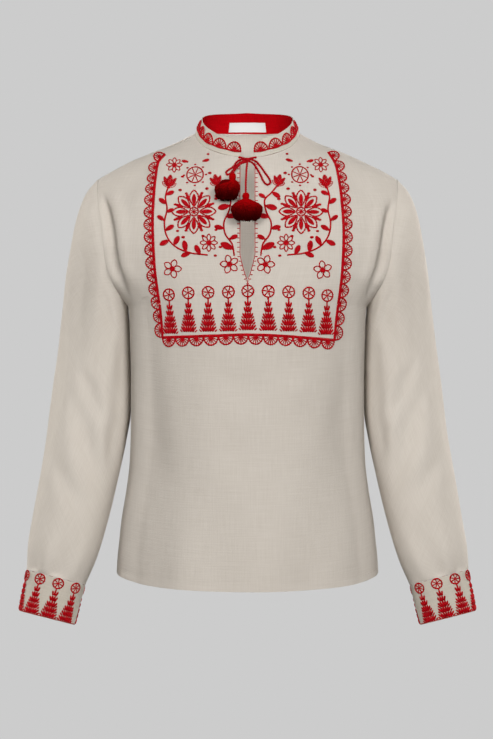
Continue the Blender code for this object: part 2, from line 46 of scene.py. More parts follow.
# ------------------------------------------------------------------- camera
camera_data = bpy.data.cameras.new("camera")
camera = bpy.data.objects.new("camera", camera_data)
scene.collection.objects.link(camera)
camera_data.sensor_fit = "VERTICAL"
camera_data.sensor_height = 36.0
camera_data.lens = 107.5
camera_data.clip_end = 50.0
camera.location = (-0.0014, -3.2, -0.3371)
camera.rotation_euler = (math.radians(90), 0.0, 0.0)
scene.camera = camera

# ---------------------------------------------------------------- sizes (mm)
CLOTH, BAND, COLLAR_WALL, FACING_WALL = 1.1, 2.0, 1.2, 0.9
SEAM = 0.3
LABEL_W, LABEL_H, LABEL_T = 55.0, 14.0, 0.6
NECK_HALF, SHOULDER_HALF, SHOULDER_Z = 76.0, 217.0, -62.0
UNDERARM_Z, UNDERARM_HALF = -246.0, 172.0
SLIT_HALF, SLIT_TAPER_Z, SLIT_TIP_Z = 9.6, -177.0, -210.0
HEM_SIDE_Z = -629.0
P_TOP, P_SLEEVE = 2.35, 2.2

# body sections: height, half width, front depth, back depth, squareness
BODY = (
    (-660, 190.5, 117, 119, 2.35),
    (-613, 188.5, 114, 116, 2.35),
    (-584, 185.6, 112, 113, 2.35),
    (-555, 182.5, 110, 110, 2.35),
    (-512, 175.5, 108, 105, 2.35),
    (-470, 170.5, 107, 100, 2.35),
    (-425, 169.0, 107, 97, 2.4),
    (-350, 168.5, 110, 97, 2.6),
    (-290, 170.0, 115, 101, 2.8),
    (-246, 172.0, 119, 105, 3.0),
    (-244.5, 173.6, 119, 105, 3.0),
    (-241, 176.8, 119.2, 105.3, 2.95),
    (-228, 189.0, 119.8, 106.4, 2.75),
    (-208, 211.0, 120, 108, 2.5),
    (-181, 229.0, 119, 110, 2.35),
    (-155, 243.0, 118, 111, 2.35),
    (-130, 249.0, 117, 111, 2.35),
    (-62, 252.0, 115, 109, 2.35),
    (60, 252.0, 114, 108, 2.35),
)
# armhole seam seen from the front: height, distance from centre
ARMHOLE = (
    (-246, 172.0), (-243, 174.5), (-225, 186.0), (-207, 195.5), (-181, 203.0),
    (-155, 205.5), (-130, 208.0), (-100, 213.0), (-62, 217.0),
)
# shoulder line: distance from centre, height (above the neck it is a guide)
SHOULDER = (
    (0, 27.0), (24, 25.0), (45, 19.8), (61, 12.6), (72, 7.2), (76, 5.0),
    (86, -0.6), (103, -9.5), (121, -16.5), (138, -23.0), (156, -31.0),
    (173, -39.0), (190, -47.0), (217, -62.0), (260, -86.0),
)
ROUND_FRONT, ROUND_BACK, NECK_EASE = 170.0, 120.0, 0.28

# neck seam and collar rim: angle from centre back, seam height, rim height
COLLAR = (
    (0, 10.0, 41.0), (45, 9.0, 37.0), (90, 5.0, 26.0), (110, -8.0, 15.0),
    (125, -19.0, 6.5), (145, -29.0, -4.0), (165, -36.0, -10.0), (180, -38.5, -12.0),
)
RIM_HALF, RIM_Y, RIM_FRONT, RIM_BACK = 66.5, -4.0, 72.0, 57.0
CORNER_REACH, CORNER_KEEP = 21.0, 0.36

# sleeve rings: station, outer x z, inner x z, middle y, half depth, bow, tilt
SLEEVE = (
    (0, 217.0, -62.0, 172.0, -246.0, 0.0, 68.0, 9.0, 0.0),
    (1, 234.5, -84.0, 172.3, -252.5, 2.0, 67.0, 10.0, 0.0),
    (2, 247.5, -118.0, 171.9, -263.0, 5.0, 65.0, 8.0, 0.0),
    (3, 256.5, -160.0, 170.9, -278.0, 9.0, 62.0, 5.0, 0.0),
    (4, 264.0, -205.0, 170.4, -298.0, 13.0, 58.0, 2.5, 0.0),
    (5, 268.5, -250.0, 170.0, -322.0, 17.0, 55.5, 1.0, 0.0),
    (6, 275.0, -305.0, 169.5, -358.0, 20.0, 53.0, 0.0, 0.0),
    (7, 283.5, -365.0, 170.2, -398.0, 21.0, 51.0, 0.0, 0.01),
    (8, 291.8, -427.0, 176.5, -440.0, 19.0, 49.0, 0.0, 0.03),
    (9, 301.0, -488.0, 189.0, -499.0, 13.0, 47.0, 0.0, 0.06),
    (10, 310.5, -545.0, 203.5, -560.0, 6.0, 44.0, 0.0, 0.09),
    (11, 318.5, -596.0, 219.0, -612.0, 0.0, 40.0, 0.0, 0.11),
    (12, 319.9, -627.0, 235.1, -649.1, -3.0, 32.0, 0.0, 0.12),
)
# cuff rings: station, outer x z, inner x z, middle y, half depth
CUFF = (
    (0, 320.0, -627.5, 235.2, -649.6, -3.0, 32.0),
    (1, 325.3, -657.0, 242.9, -678.3, -4.0, 31.2),
    (2, 330.2, -686.5, 250.6, -706.8, -5.0, 30.5),
)
CUFF_TALL, CUFF_TILT = 60.2, 0.12

# tie: the routes seen from the front as x z, and height above the cloth
CORD = 3.3
TIE_LEFT = (
    (-12.6, -37.2, 2.0), (-8.4, -38.0, 2.4), (-3.6, -39.4, 3.4),
    (0.3, -40.3, 4.3), (0.5, -41.0, 6.4),
    (-5.5, -41.0, 5.7), (-11.0, -41.8, 4.2), (-15.6, -45.0, 2.6),
    (-19.8, -51.4, 2.0), (-26.6, -56.2, 2.0), (-30.0, -59.4, 2.0),
    (-28.4, -63.0, 2.2), (-24.0, -61.4, 2.4), (-19.6, -56.0, 2.6),
    (-15.4, -50.0, 3.2), (-10.2, -45.6, 4.4), (-5.3, -44.0, 5.4),
    (-0.4, -43.0, 4.4), (-0.3, -44.6, 5.2),
    (-4.6, -45.6, 5.9), (-10.4, -48.4, 7.6), (-15.4, -53.8, 9.0),
    (-19.0, -59.2, 10.4), (-20.4, -63.0, 12.0),
)
TIE_RIGHT = (
    (12.6, -37.4, 2.0), (8.2, -38.2, 2.4), (2.8, -39.6, 3.4),
    (-1.6, -40.8, 4.2), (-1.2, -41.2, 6.6),
    (4.9, -41.2, 5.7), (11.6, -43.6, 4.2), (18.0, -50.6, 2.6),
    (24.6, -60.2, 2.2), (30.6, -69.2, 2.4), (32.2, -74.8, 2.4),
    (27.6, -77.8, 2.4), (22.4, -72.6, 2.2), (17.8, -62.6, 2.2),
    (12.8, -53.4, 2.8), (8.0, -47.0, 4.0), (4.2, -44.5, 5.0),
    (0.2, -43.2, 4.6), (-0.4, -44.4, 5.3),
    (-0.2, -45.8, 5.5), (-1.0, -53.0, 5.8), (-1.7, -62.0, 7.0),
    (-2.2, -74.0, 9.8), (-2.3, -84.0, 13.4), (-2.3, -91.4, 16.6),
)
KNOT = (-0.4, -41.4, 5.2, 4.9, 3.9, 3.9)
POMPOM_LEFT = (-20.9, -67.6, -28.3, -85.0, 17.6, 17.4, 16.0, 15.6)
POMPOM_CENTRE = (-2.3, -95.6, -1.4, -115.2, 20.6, 22.4, 19.0, 15.2)


# -------------------------------------------------------------- basic curves
def smooth_table(rows, column):
    """Monotone cubic through one column of a table; returns a function."""
    table = np.array([[r[0], r[column]] for r in rows], float)
    x, y = table[:, 0], table[:, 1]
    h, d = np.diff(x), np.diff(y) / np.diff(x)
    m = np.zeros(len(x))
    m[0], m[-1] = d[0], d[-1]
    for i in range(1, len(x) - 1):
        if d[i - 1] * d[i] > 0:
            w1, w2 = 2 * h[i] + h[i - 1], h[i] + 2 * h[i - 1]
            m[i] = (w1 + w2) / (w1 / d[i - 1] + w2 / d[i])

    def at(q):
        q = np.clip(np.asarray(q, float), x[0], x[-1])
        i = np.clip(np.searchsorted(x, q, side="right") - 1, 0, len(x) - 2)
        t = (q - x[i]) / h[i]
        return (
            (1 + 2 * t) * (1 - t) ** 2 * y[i]
            + t * (1 - t) ** 2 * h[i] * m[i]
            + t * t * (3 - 2 * t) * y[i + 1]
            + t * t * (t - 1) * h[i] * m[i + 1]
        )

    return at


half_at = smooth_table(BODY, 1)
front_at = smooth_table(BODY, 2)
back_at = smooth_table(BODY, 3)
power_at = smooth_table(BODY, 4)
armhole_at = smooth_table(ARMHOLE, 1)
shoulder_at = smooth_table(SHOULDER, 1)
seam_height = smooth_table(COLLAR, 1)
rim_height = smooth_table(COLLAR, 2)
sleeve_at = [smooth_table(SLEEVE, c) for c in range(1, 9)]
cuff_at = [smooth_table(CUFF, c) for c in range(1, 7)]


def ease(t):
    t = np.clip(t, 0, 1)
    return t * t * (3 - 2 * t)


def units(v):
    return v / np.maximum(np.linalg.norm(v, axis=-1, keepdims=True), 1e-12)


def depth(x, z, side):
    """The body's surface in front of (side -1) or behind (+1) the shoulder line."""
    x = np.abs(np.asarray(x, float))
    z = np.asarray(z, float)
    power = power_at(z)
    section = np.clip(1 - np.minimum(x / half_at(z), 1) ** power, 0, 1) ** (1 / power)
    reach = ROUND_FRONT if side < 0 else ROUND_BACK
    below = np.clip((shoulder_at(x) - z) / reach, 0, 1)
    near = np.clip((135 - x) / 70, 0, 1) if side < 0 else 0 * x
    power_over = 0.5 + NECK_EASE * near * near * (3 - 2 * near)
    over = np.clip(1 - (1 - below) ** 2.2, 0, 1) ** power_over
    return side * (front_at(z) if side < 0 else back_at(z)) * section * over


def hem_height(share):
    return -648.5 + 9.0 * share**2 + 10.5 * share**14


def slit_half(z):
    t = np.clip((np.asarray(z, float) - SLIT_TIP_Z) / (SLIT_TAPER_Z - SLIT_TIP_Z), 0, 1)
    return SLIT_HALF * t**0.75


def top_height(x, side):
    turn = np.degrees(np.arcsin(np.clip(x / NECK_HALF, 0, 1)))
    return np.where(x >= NECK_HALF - 1e-6, shoulder_at(x), seam_height(180 - turn if side < 0 else turn))


# ------------------------------------------------------------------- creases
def along(x, z, points):
    """Distance to a polyline and the share of its length."""
    p = np.array(points, float)
    run = np.concatenate([[0], np.cumsum(np.linalg.norm(np.diff(p, axis=0), axis=1))])
    best = np.full(x.shape, 1e9)
    share = np.zeros(x.shape)
    for i in range(len(p) - 1):
        d = p[i + 1] - p[i]
        t = np.clip(((x - p[i, 0]) * d[0] + (z - p[i, 1]) * d[1]) / (d @ d), 0, 1)
        far = np.hypot(x - p[i, 0] - t * d[0], z - p[i, 1] - t * d[1])
        near = far < best
        best = np.where(near, far, best)
        share = np.where(near, (run[i] + t * (run[i + 1] - run[i])) / run[-1], share)
    return best, share


def fold_sum(x, z, folds):
    """Sum of soft troughs (depth below 0) and ridges; each has tapered ends and
    low shoulders beside it."""
    out = np.zeros(x.shape)
    for amount, width, fade_in, fade_out, points in folds:
        far, share = along(x, z, points)
        ends = ease(share / max(fade_in, 1e-3)) * ease((1 - share) / max(fade_out, 1e-3))
        q = far / width
        out += amount * ends * (np.exp(-q * q) - 0.3 * np.exp(-((q - 1.9) ** 2) / 0.8))
    return out


# amount, width, fade in, fade out, places x z
FRONT_FOLDS = (
    (-12.5, 10.0, 0.25, 0.35, ((-216, -74), (-207, -102), (-199, -136), (-196, -163), (-192, -192), (-184, -216), (-172, -256))),
    (-11.5, 9.5, 0.25, 0.35, ((214, -84), (207, -112), (201, -140), (197, -168), (191, -196), (182, -222), (171, -260))),
    (-2.6, 18.0, 0.35, 0.45, ((-146, -250), (-144, -330), (-139, -400), (-136, -470), (-142, -560))),
    (-2.2, 18.0, 0.35, 0.45, ((148, -262), (141, -322), (138, -392), (142, -462), (146, -540))),
    (-2.8, 14.0, 0.3, 0.4, ((-128, -36), (-152, -62), (-176, -92), (-190, -120))),
    (-2.4, 14.0, 0.3, 0.4, ((132, -40), (156, -68), (180, -100))),
    (2.6, 26.0, 0.8, 0.02, ((-96, -500), (-98, -580), (-100, -665))),
    (-2.8, 28.0, 0.8, 0.02, ((-38, -470), (-42, -560), (-44, -668))),
    (2.2, 26.0, 0.8, 0.02, ((20, -500), (24, -580), (26, -668))),
    (-2.6, 26.0, 0.8, 0.02, ((78, -500), (84, -580), (88, -665))),
    (-1.8, 22.0, 0.5, 0.5, ((-70, -318), (-30, -352), (14, -372), (60, -380))),
    (-1.6, 20.0, 0.5, 0.5, ((86, -312), (52, -338), (20, -348))),
    (-1.5, 26.0, 0.5, 0.5, ((-60, -430), (-10, -456), (50, -450))),
)
BACK_FOLDS = (
    (-9.0, 9.5, 0.25, 0.3, ((-209, -82), (-196, -112), (-186, -142), (-178, -172), (-172, -206), (-166, -246))),
    (-9.0, 9.5, 0.25, 0.3, ((209, -80), (197, -108), (187, -138), (178, -170), (172, -202), (165, -244))),
    (-6.5, 18.0, 0.3, 0.4, ((-154, -262), (-138, -312), (-129, -372), (-124, -450), (-132, -540))),
    (-6.0, 17.0, 0.3, 0.4, ((154, -276), (137, -328), (128, -390), (130, -460), (137, -530))),
    (-5.0, 15.0, 0.4, 0.5, ((-158, -268), (-116, -296), (-76, -306), (-36, -302))),
    (-4.5, 15.0, 0.4, 0.5, ((156, -286), (112, -318), (70, -330), (34, -326))),
    (-4.0, 22.0, 0.5, 0.4, ((-64, -110), (-72, -210), (-70, -320), (-62, -430))),
    (-3.8, 22.0, 0.5, 0.4, ((58, -96), (70, -200), (74, -320), (70, -440))),
    (3.0, 24.0, 0.5, 0.5, ((-4, -150), (0, -260), (6, -380))),
    (-2.8, 15.0, 0.4, 0.4, ((-70, -18), (-110, -44), (-150, -78))),
    (-2.6, 14.0, 0.4, 0.4, ((66, -16), (112, -46), (154, -82))),
    (3.6, 24.0, 0.8, 0.02, ((-104, -470), (-106, -560), (-108, -668))),
    (-4.2, 25.0, 0.8, 0.02, ((-48, -450), (-46, -560), (-44, -668))),
    (3.6, 26.0, 0.8, 0.02, ((10, -470), (12, -570), (12, -668))),
    (-4.2, 24.0, 0.8, 0.02, ((66, -470), (70, -560), (74, -668))),
    (3.2, 21.0, 0.8, 0.02, ((124, -500), (130, -590), (134, -664))),
)


def body_crease(x, z, side):
    """Height of the cloth over the plain form, along its normal."""
    x, z = np.asarray(x, float), np.asarray(z, float)
    out = fold_sum(x, z, FRONT_FOLDS if side < 0 else BACK_FOLDS)
    out += 0.7 * np.sin(x / 29 + 1.6 * np.sin(z / 83 + side)) * np.sin(z / 71 + 0.9 * np.sin(x / 47))
    out += 0.35 * np.sin(x / 13 + 2.1 * np.sin(z / 41)) * np.sin(z / 37 + 1.7 * np.sin(x / 31 + side))
    edge = np.where(z > UNDERARM_Z, armhole_at(z), half_at(z))
    if side < 0:  # the sides fall away softly below the armholes
        fall = np.where(x < 0, 10.5, 8.0) * ease((np.abs(x) - 46) / 96) * ease((edge - np.abs(x)) / 27)
        out -= fall * ease((-180 - z) / 100)
    out *= ease((edge - np.abs(x)) / 11) * ease((shoulder_at(x) - z) / 14)
    share = np.minimum(np.abs(x) / half_at(z), 1)
    up = z - hem_height(share)
    out += 0.55 * ease((8.2 - up) / 1.6) * ease((edge - np.abs(x)) / 6)  # the turned hem
    out -= 0.5 * np.exp(-(((up - 8.6) / 1.3) ** 2)) * ease((edge - np.abs(x)) / 6)
    seam = edge - np.abs(x)
    out -= np.where(z > UNDERARM_Z + 4, 0.5 * np.exp(-(((seam - 2.0) / 1.6) ** 2)), 0.0) * ease(seam / 1.5)
    return out


def body_place(side, lift=0.0):
    """Surface places for stitches: x, z to point and normal."""

    def place(x, z):
        e = 1.0
        gx = (depth(x + e, z, side) - depth(x - e, z, side)) / (2 * e)
        gz = (depth(x, z + e, side) - depth(x, z - e, side)) / (2 * e)
        n = units(np.stack([-side * gx, side * np.ones_like(gx), -side * gz], -1))
        p = np.stack([x, depth(x, z, side), z], -1)
        return p + n * (body_crease(x, z, side) + lift)[..., None], n

    return place


# amount, width, fade in, fade out, places round (mm from the outer line, + to
# the front) and down (mm from the shoulder)
SLEEVE_FOLDS = (
    (-3.6, 13.0, 0.3, 0.5, ((58, 20), (66, 80), (60, 150), (44, 210))),
    (-3.4, 12.0, 0.3, 0.5, ((96, 36), (104, 96), (92, 160), (72, 215))),
    (2.2, 12.0, 0.4, 0.5, ((28, 30), (36, 100), (30, 170))),
    (-3.0, 15.0, 0.4, 0.4, ((12, 150), (24, 220), (18, 300), (26, 370))),
    (-5.0, 12.0, 0.3, 0.4, ((64, 215), (76, 256), (92, 312), (104, 352), (112, 396))),
    (-3.2, 9.0, 0.3, 0.4, ((68, 186), (78, 212), (92, 246), (102, 282))),
    (2.2, 9.0, 0.4, 0.4, ((84, 232), (100, 290), (112, 336))),
    (-2.8, 12.0, 0.4, 0.4, ((40, 300), (58, 340), (84, 376), (104, 420))),
    (-3.2, 13.0, 0.4, 0.4, ((104, 400), (90, 470), (72, 540), (64, 600))),
    (-2.6, 13.0, 0.4, 0.4, ((38, 420), (46, 500), (42, 580), (48, 630))),
    (2.0, 12.0, 0.4, 0.4, ((66, 430), (68, 510), (60, 590))),
    (-4.6, 13.0, 0.3, 0.5, ((-60, 24), (-68, 90), (-60, 160), (-42, 220))),
    (-4.2, 13.0, 0.3, 0.5, ((-100, 44), (-108, 110), (-94, 180))),
    (-5.6, 12.0, 0.3, 0.4, ((-132, 190), (-112, 246), (-84, 288), (-50, 310))),
    (-5.4, 12.0, 0.3, 0.4, ((-130, 280), (-106, 326), (-74, 354), (-36, 366))),
    (3.2, 11.0, 0.4, 0.4, ((-118, 240), (-90, 284), (-60, 300))),
    (-4.2, 13.0, 0.4, 0.4, ((-96, 390), (-84, 460), (-66, 530), (-60, 604))),
    (-3.8, 13.0, 0.4, 0.4, ((-34, 400), (-42, 480), (-36, 560), (-40, 630))),
    (-3.0, 12.0, 0.4, 0.4, ((-14, 90), (-22, 160), (-14, 230), (-20, 290))),
    (-4.5, 15.0, 0.3, 0.4, ((122, 60), (126, 130), (128, 220), (126, 320), (118, 420))),
)


def sleeve_crease(round_mm, down, half):
    mirror_a = round_mm * 1.0
    out = fold_sum(mirror_a, down + (0 if half < 0 else 9), SLEEVE_FOLDS)
    wave = 0.8 * np.sin(down / 43 + 1.4 * np.sin(round_mm / 33 + half)) * np.sin(round_mm / 27 + 0.8 * np.sin(down / 61))
    out += wave
    # gathers into the cuff
    near = ease((down - 560) / 70)
    out += near * 1.7 * np.sin(round_mm / 4.4 + 1.2 * np.sin(round_mm / 17.0 + half) + 0.5 * half) * ease((690 - down) / 20)
    # short puckers below the sleeve head
    near = ease((46 - down) / 40)
    out += near * 0.55 * np.sin(round_mm / 3.4 + 1.1 * np.sin(round_mm / 13.0)) * ease((80 - np.abs(round_mm)) / 30)
    return out


# --------------------------------------------------------------- mesh making
def new_object(name, mesh, material):
    mesh.materials.append(material)
    obj = bpy.data.objects.new(name, mesh)
    scene.collection.objects.link(obj)
    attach(obj, "root")
    return obj


def give_uv(mesh, uv):
    index = np.empty(len(mesh.loops), np.int32)
    mesh.loops.foreach_get("vertex_index", index)
    layer = mesh.uv_layers.new(name="UVMap")
    layer.data.foreach_set("uv", np.asarray(uv, np.float32)[index].ravel())


def grid_quads(index):
    """Quads of an index grid, rows up and columns across."""
    a, b = index[:-1, :-1].ravel(), index[:-1, 1:].ravel()
    c, d = index[1:, 1:].ravel(), index[1:, :-1].ravel()
    return np.stack([a, b, c, d], 1)


def sheet_normals(p, quads):
    n = np.zeros_like(p)
    a = np.cross(p[quads[:, 2]] - p[quads[:, 0]], p[quads[:, 3]] - p[quads[:, 1]])
    for k in range(4):
        np.add.at(n, quads[:, k], a)
    return units(n)


def shell(name, p, quads, normals, wall, uv, material, shift=0.0, area_out=None):
    """A thin wall: the sheet, its copy moved in, and rims with a soft edge."""
    p = p - shift * normals
    inner = p - wall * normals
    n = len(p)
    starts = quads.ravel()
    ends = np.roll(quads, -1, axis=1).ravel()
    key, back = starts.astype(np.int64) * n + ends, ends.astype(np.int64) * n + starts
    open_edge = ~np.isin(key, back)
    a, b = starts[open_edge], ends[open_edge]
    rims = np.stack([b, a, a + n, b + n], 1)
    faces = np.vstack([quads, quads[:, ::-1] + n, rims])
    mesh = bpy.data.meshes.new(name)
    mesh.from_pydata((np.vstack([p, inner]) * 0.001).tolist(), [], faces.tolist())
    give_uv(mesh, np.vstack([uv, uv]))
    mesh.shade_smooth()
    mesh.set_sharp_from_angle(angle=math.radians(60))
    if area_out is not None:
        q = p[quads] * 0.001
        area_out[name] = float(
            0.5 * np.linalg.norm(np.cross(q[:, 2] - q[:, 0], q[:, 3] - q[:, 1]), axis=1).sum()
        )
    return new_object(name, mesh, material)


AREAS = {}


# ---------------------------------------------------------------- materials
def nodes_of(name):
    material = bpy.data.materials.new(name)
    material.use_nodes = True
    tree = material.node_tree
    return material, tree, tree.nodes["Principled BSDF"]


def add_node(tree, kind, links=(), **values):
    node = tree.nodes.new(kind)
    for key, value in values.items():
        if key in node.inputs.keys():
            node.inputs[key].default_value = value
        else:
            setattr(node, key, value)
    for key, source in links:
        tree.links.new(source, node.inputs[key])
    return node


def maths(tree, operation, a, b=None):
    node = tree.nodes.new("ShaderNodeMath")
    node.operation = operation
    for i, v in enumerate((a, b)):
        if v is None:
            continue
        if isinstance(v, (int, float)):
            node.inputs[i].default_value = v
        else:
            tree.links.new(v, node.inputs[i])
    return node.outputs[0]


def scaled_uv(tree, x, y):
    uv = add_node(tree, "ShaderNodeTexCoord")
    mapping = add_node(tree, "ShaderNodeMapping")
    mapping.inputs["Scale"].default_value = (x, y, 1.0)
    tree.links.new(uv.outputs["UV"], mapping.inputs["Vector"])
    return mapping.outputs["Vector"]


def linen(name, dark, light, bump=0.4, pitch=1500.0, sheen=0.08, shine=0.12):
    """Plain weave with slubs both ways; UVs are metres."""
    material, tree, shader = nodes_of(name)
    slub_v = add_node(tree, "ShaderNodeTexNoise", [("Vector", scaled_uv(tree, 620.0, 26.0))], Scale=1.0, Detail=3.0)
    slub_h = add_node(tree, "ShaderNodeTexNoise", [("Vector", scaled_uv(tree, 22.0, 560.0))], Scale=1.0, Detail=3.0)
    cloud = add_node(tree, "ShaderNodeTexNoise", [("Vector", scaled_uv(tree, 9.0, 7.0))], Scale=1.0, Detail=2.0)
    slubs = maths(tree, "ADD", slub_v.outputs["Fac"], slub_h.outputs["Fac"])
    mixed = maths(tree, "ADD", maths(tree, "MULTIPLY", slubs, 0.5), maths(tree, "MULTIPLY", cloud.outputs["Fac"], 0.22))
    ramp = add_node(tree, "ShaderNodeMapRange", [("Value", mixed)])
    ramp.inputs["From Min"].default_value = 0.44
    ramp.inputs["From Max"].default_value = 0.80
    mix = tree.nodes.new("ShaderNodeMix")
    mix.data_type = "RGBA"
    mix.inputs[6].default_value = (*dark, 1.0)
    mix.inputs[7].default_value = (*light, 1.0)
    tree.links.new(ramp.outputs["Result"], mix.inputs[0])
    tree.links.new(mix.outputs[2], shader.inputs["Base Color"])
    wave_u = add_node(tree, "ShaderNodeTexWave", [("Vector", scaled_uv(tree, pitch, 40.0))], Scale=1.0, Distortion=1.2)
    wave_v = add_node(tree, "ShaderNodeTexWave", [("Vector", scaled_uv(tree, 40.0, pitch))], Scale=1.0, Distortion=1.2)
    wave_v.bands_direction = "Y"
    weave = maths(tree, "MULTIPLY", wave_u.outputs["Fac"], wave_v.outputs["Fac"])
    height = maths(tree, "ADD", maths(tree, "MULTIPLY", weave, 0.35), slubs)
    bump_node = add_node(tree, "ShaderNodeBump", [("Height", height)], Strength=bump, Distance=0.0008)
    tree.links.new(bump_node.outputs["Normal"], shader.inputs["Normal"])
    shader.inputs["Roughness"].default_value = 0.92
    shader.inputs["Specular IOR Level"].default_value = shine
    shader.inputs["Sheen Weight"].default_value = sheen
    shader.inputs["Sheen Roughness"].default_value = 0.5
    return material


def thread(name, dark, light, rough=0.65, grain=900.0, sheen=0.0):
    """Cotton thread; UVs are metres across and along each stitch."""
    material, tree, shader = nodes_of(name)
    twist = add_node(tree, "ShaderNodeTexWave", [("Vector", scaled_uv(tree, grain, grain * 0.7))], Scale=1.0, Distortion=0.6)
    twist.bands_direction = "DIAGONAL"
    where = add_node(tree, "ShaderNodeTexCoord")
    noise = add_node(tree, "ShaderNodeTexNoise", [("Vector", where.outputs["Object"])], Scale=260.0, Detail=2.0)
    both = maths(tree, "ADD", maths(tree, "MULTIPLY", twist.outputs["Fac"], 0.45), maths(tree, "MULTIPLY", noise.outputs["Fac"], 0.9))
    ramp = add_node(tree, "ShaderNodeMapRange", [("Value", both)])
    ramp.inputs["From Min"].default_value = 0.35
    ramp.inputs["From Max"].default_value = 1.0
    mix = tree.nodes.new("ShaderNodeMix")
    mix.data_type = "RGBA"
    mix.inputs[6].default_value = (*dark, 1.0)
    mix.inputs[7].default_value = (*light, 1.0)
    tree.links.new(ramp.outputs["Result"], mix.inputs[0])
    tree.links.new(mix.outputs[2], shader.inputs["Base Color"])
    bump_node = add_node(tree, "ShaderNodeBump", [("Height", twist.outputs["Fac"])], Strength=0.35, Distance=0.0003)
    tree.links.new(bump_node.outputs["Normal"], shader.inputs["Normal"])
    shader.inputs["Roughness"].default_value = rough
    shader.inputs["Specular IOR Level"].default_value = 0.10
    shader.inputs["Sheen Weight"].default_value = sheen
    return material


def yarn(name, bright, dark):
    """Pompom yarn of one red with painted shade: bright at its binding and painted darker down each strand to its cut
    ends; UV v runs down each strand and u differs from strand to strand."""
    material, tree, shader = nodes_of(name)
    coords = add_node(tree, "ShaderNodeTexCoord")
    split = add_node(tree, "ShaderNodeSeparateXYZ", [("Vector", coords.outputs["UV"])])
    vary = add_node(tree, "ShaderNodeTexNoise", [("Vector", coords.outputs["UV"])], Scale=37.0, Detail=1.0)
    down = maths(tree, "ADD", split.outputs["Y"], maths(tree, "MULTIPLY", maths(tree, "SUBTRACT", vary.outputs["Fac"], 0.5), 1.5))
    ramp = add_node(tree, "ShaderNodeMapRange", [("Value", down)])
    ramp.inputs["From Min"].default_value = 0.05
    ramp.inputs["From Max"].default_value = 0.72
    mix = tree.nodes.new("ShaderNodeMix")
    mix.data_type = "RGBA"
    mix.inputs[6].default_value = (*bright, 1.0)
    mix.inputs[7].default_value = (*dark, 1.0)
    tree.links.new(ramp.outputs["Result"], mix.inputs[0])
    tree.links.new(mix.outputs[2], shader.inputs["Base Color"])
    shader.inputs["Roughness"].default_value = 0.8
    shader.inputs["Specular IOR Level"].default_value = 0.02
    return material


def satin(name, colour):
    material, tree, shader = nodes_of(name)
    weave = add_node(tree, "ShaderNodeTexNoise", [("Vector", scaled_uv(tree, 60.0, 2600.0))], Scale=1.0, Detail=2.0)
    mix = tree.nodes.new("ShaderNodeMix")
    mix.data_type = "RGBA"
    mix.inputs[6].default_value = (*[c * 0.93 for c in colour], 1.0)
    mix.inputs[7].default_value = (*colour, 1.0)
    tree.links.new(weave.outputs["Fac"], mix.inputs[0])
    tree.links.new(mix.outputs[2], shader.inputs["Base Color"])
    shader.inputs["Roughness"].default_value = 0.45
    return material


LINEN = linen("linen", (0.562, 0.514, 0.457), (0.625, 0.579, 0.523))
# the sleeves' linen is the body's linen painted about 6% lighter: painted light for the brighter light on the sleeves,
# not a different cloth
SLEEVE_LINEN_PAINTED_LIGHT = linen("sleeve_linen_painted_light", (0.596, 0.545, 0.484), (0.662, 0.614, 0.554))
CUFF_LINEN = linen("cuff_linen", (0.540, 0.494, 0.423), (0.610, 0.566, 0.490))
COLLAR_LINEN = linen("collar_linen", (0.545, 0.499, 0.428), (0.615, 0.571, 0.495))
FACING = linen("facing_cotton", (0.31, 0.0003, 0.002), (0.42, 0.0006, 0.004), bump=0.25, sheen=0.0, shine=0.04)
FLOSS = thread("red_floss", (0.24, 0.0006, 0.003), (0.62, 0.0022, 0.010))
HEM_THREAD = thread("linen_thread", (0.40, 0.35, 0.29), (0.52, 0.47, 0.40))
CORD_YARN = thread("tie_cord", (0.26, 0.0010, 0.004), (0.50, 0.0025, 0.010), rough=0.7)
# pompom yarn: one red with painted shade, dark towards the strands' lower ends and in the heart
POM_YARN_PAINTED_SHADE = yarn("pompom_yarn", (0.40, 0.0004, 0.002), (0.065, 0.0002, 0.0004))
LABEL_SATIN = satin("label_satin", (0.60, 0.60, 0.60))

# ---------------------------------------------------------------- tie, first
front_place = body_place(-1)


def on_front(x, z, lift):
    return np.array([x, float(depth(x, z, -1)) - lift, z])


def catmull(points, step):
    p = [np.asarray(q, float) for q in points]
    p = [2 * p[0] - p[1]] + p + [2 * p[-1] - p[-2]]
    fine = []
    for i in range(1, len(p) - 2):
        for k in range(16):
            t = k / 16
            fine.append(0.5 * (2 * p[i] + (p[i + 1] - p[i - 1]) * t
                               + (2 * p[i - 1] - 5 * p[i] + 4 * p[i + 1] - p[i + 2]) * t**2
                               + (3 * p[i] - p[i - 1] - 3 * p[i + 1] + p[i + 2]) * t**3))
    fine.append(p[-2])
    fine = np.array(fine)
    run = np.concatenate([[0], np.cumsum(np.linalg.norm(np.diff(fine, axis=0), axis=1))])
    count = max(2, int(round(run[-1] / step)) + 1)
    want = np.linspace(0, run[-1], count)
    return np.stack([np.interp(want, run, fine[:, c]) for c in range(fine.shape[1])], axis=1)


def frames(path):
    """Tangents and a side direction carried along the path without twist."""
    t = units(np.gradient(path, axis=0))
    side = np.zeros_like(path)
    v = np.cross(t[0], (0.0, 0.0, 1.0))
    if np.linalg.norm(v) < 1e-3:
        v = np.cross(t[0], (1.0, 0.0, 0.0))
    v = v / np.linalg.norm(v)
    for i in range(len(path)):
        v = v - t[i] * (v @ t[i])
        v = v / max(np.linalg.norm(v), 1e-9)
        side[i] = v
    return t, side, np.cross(t, side)


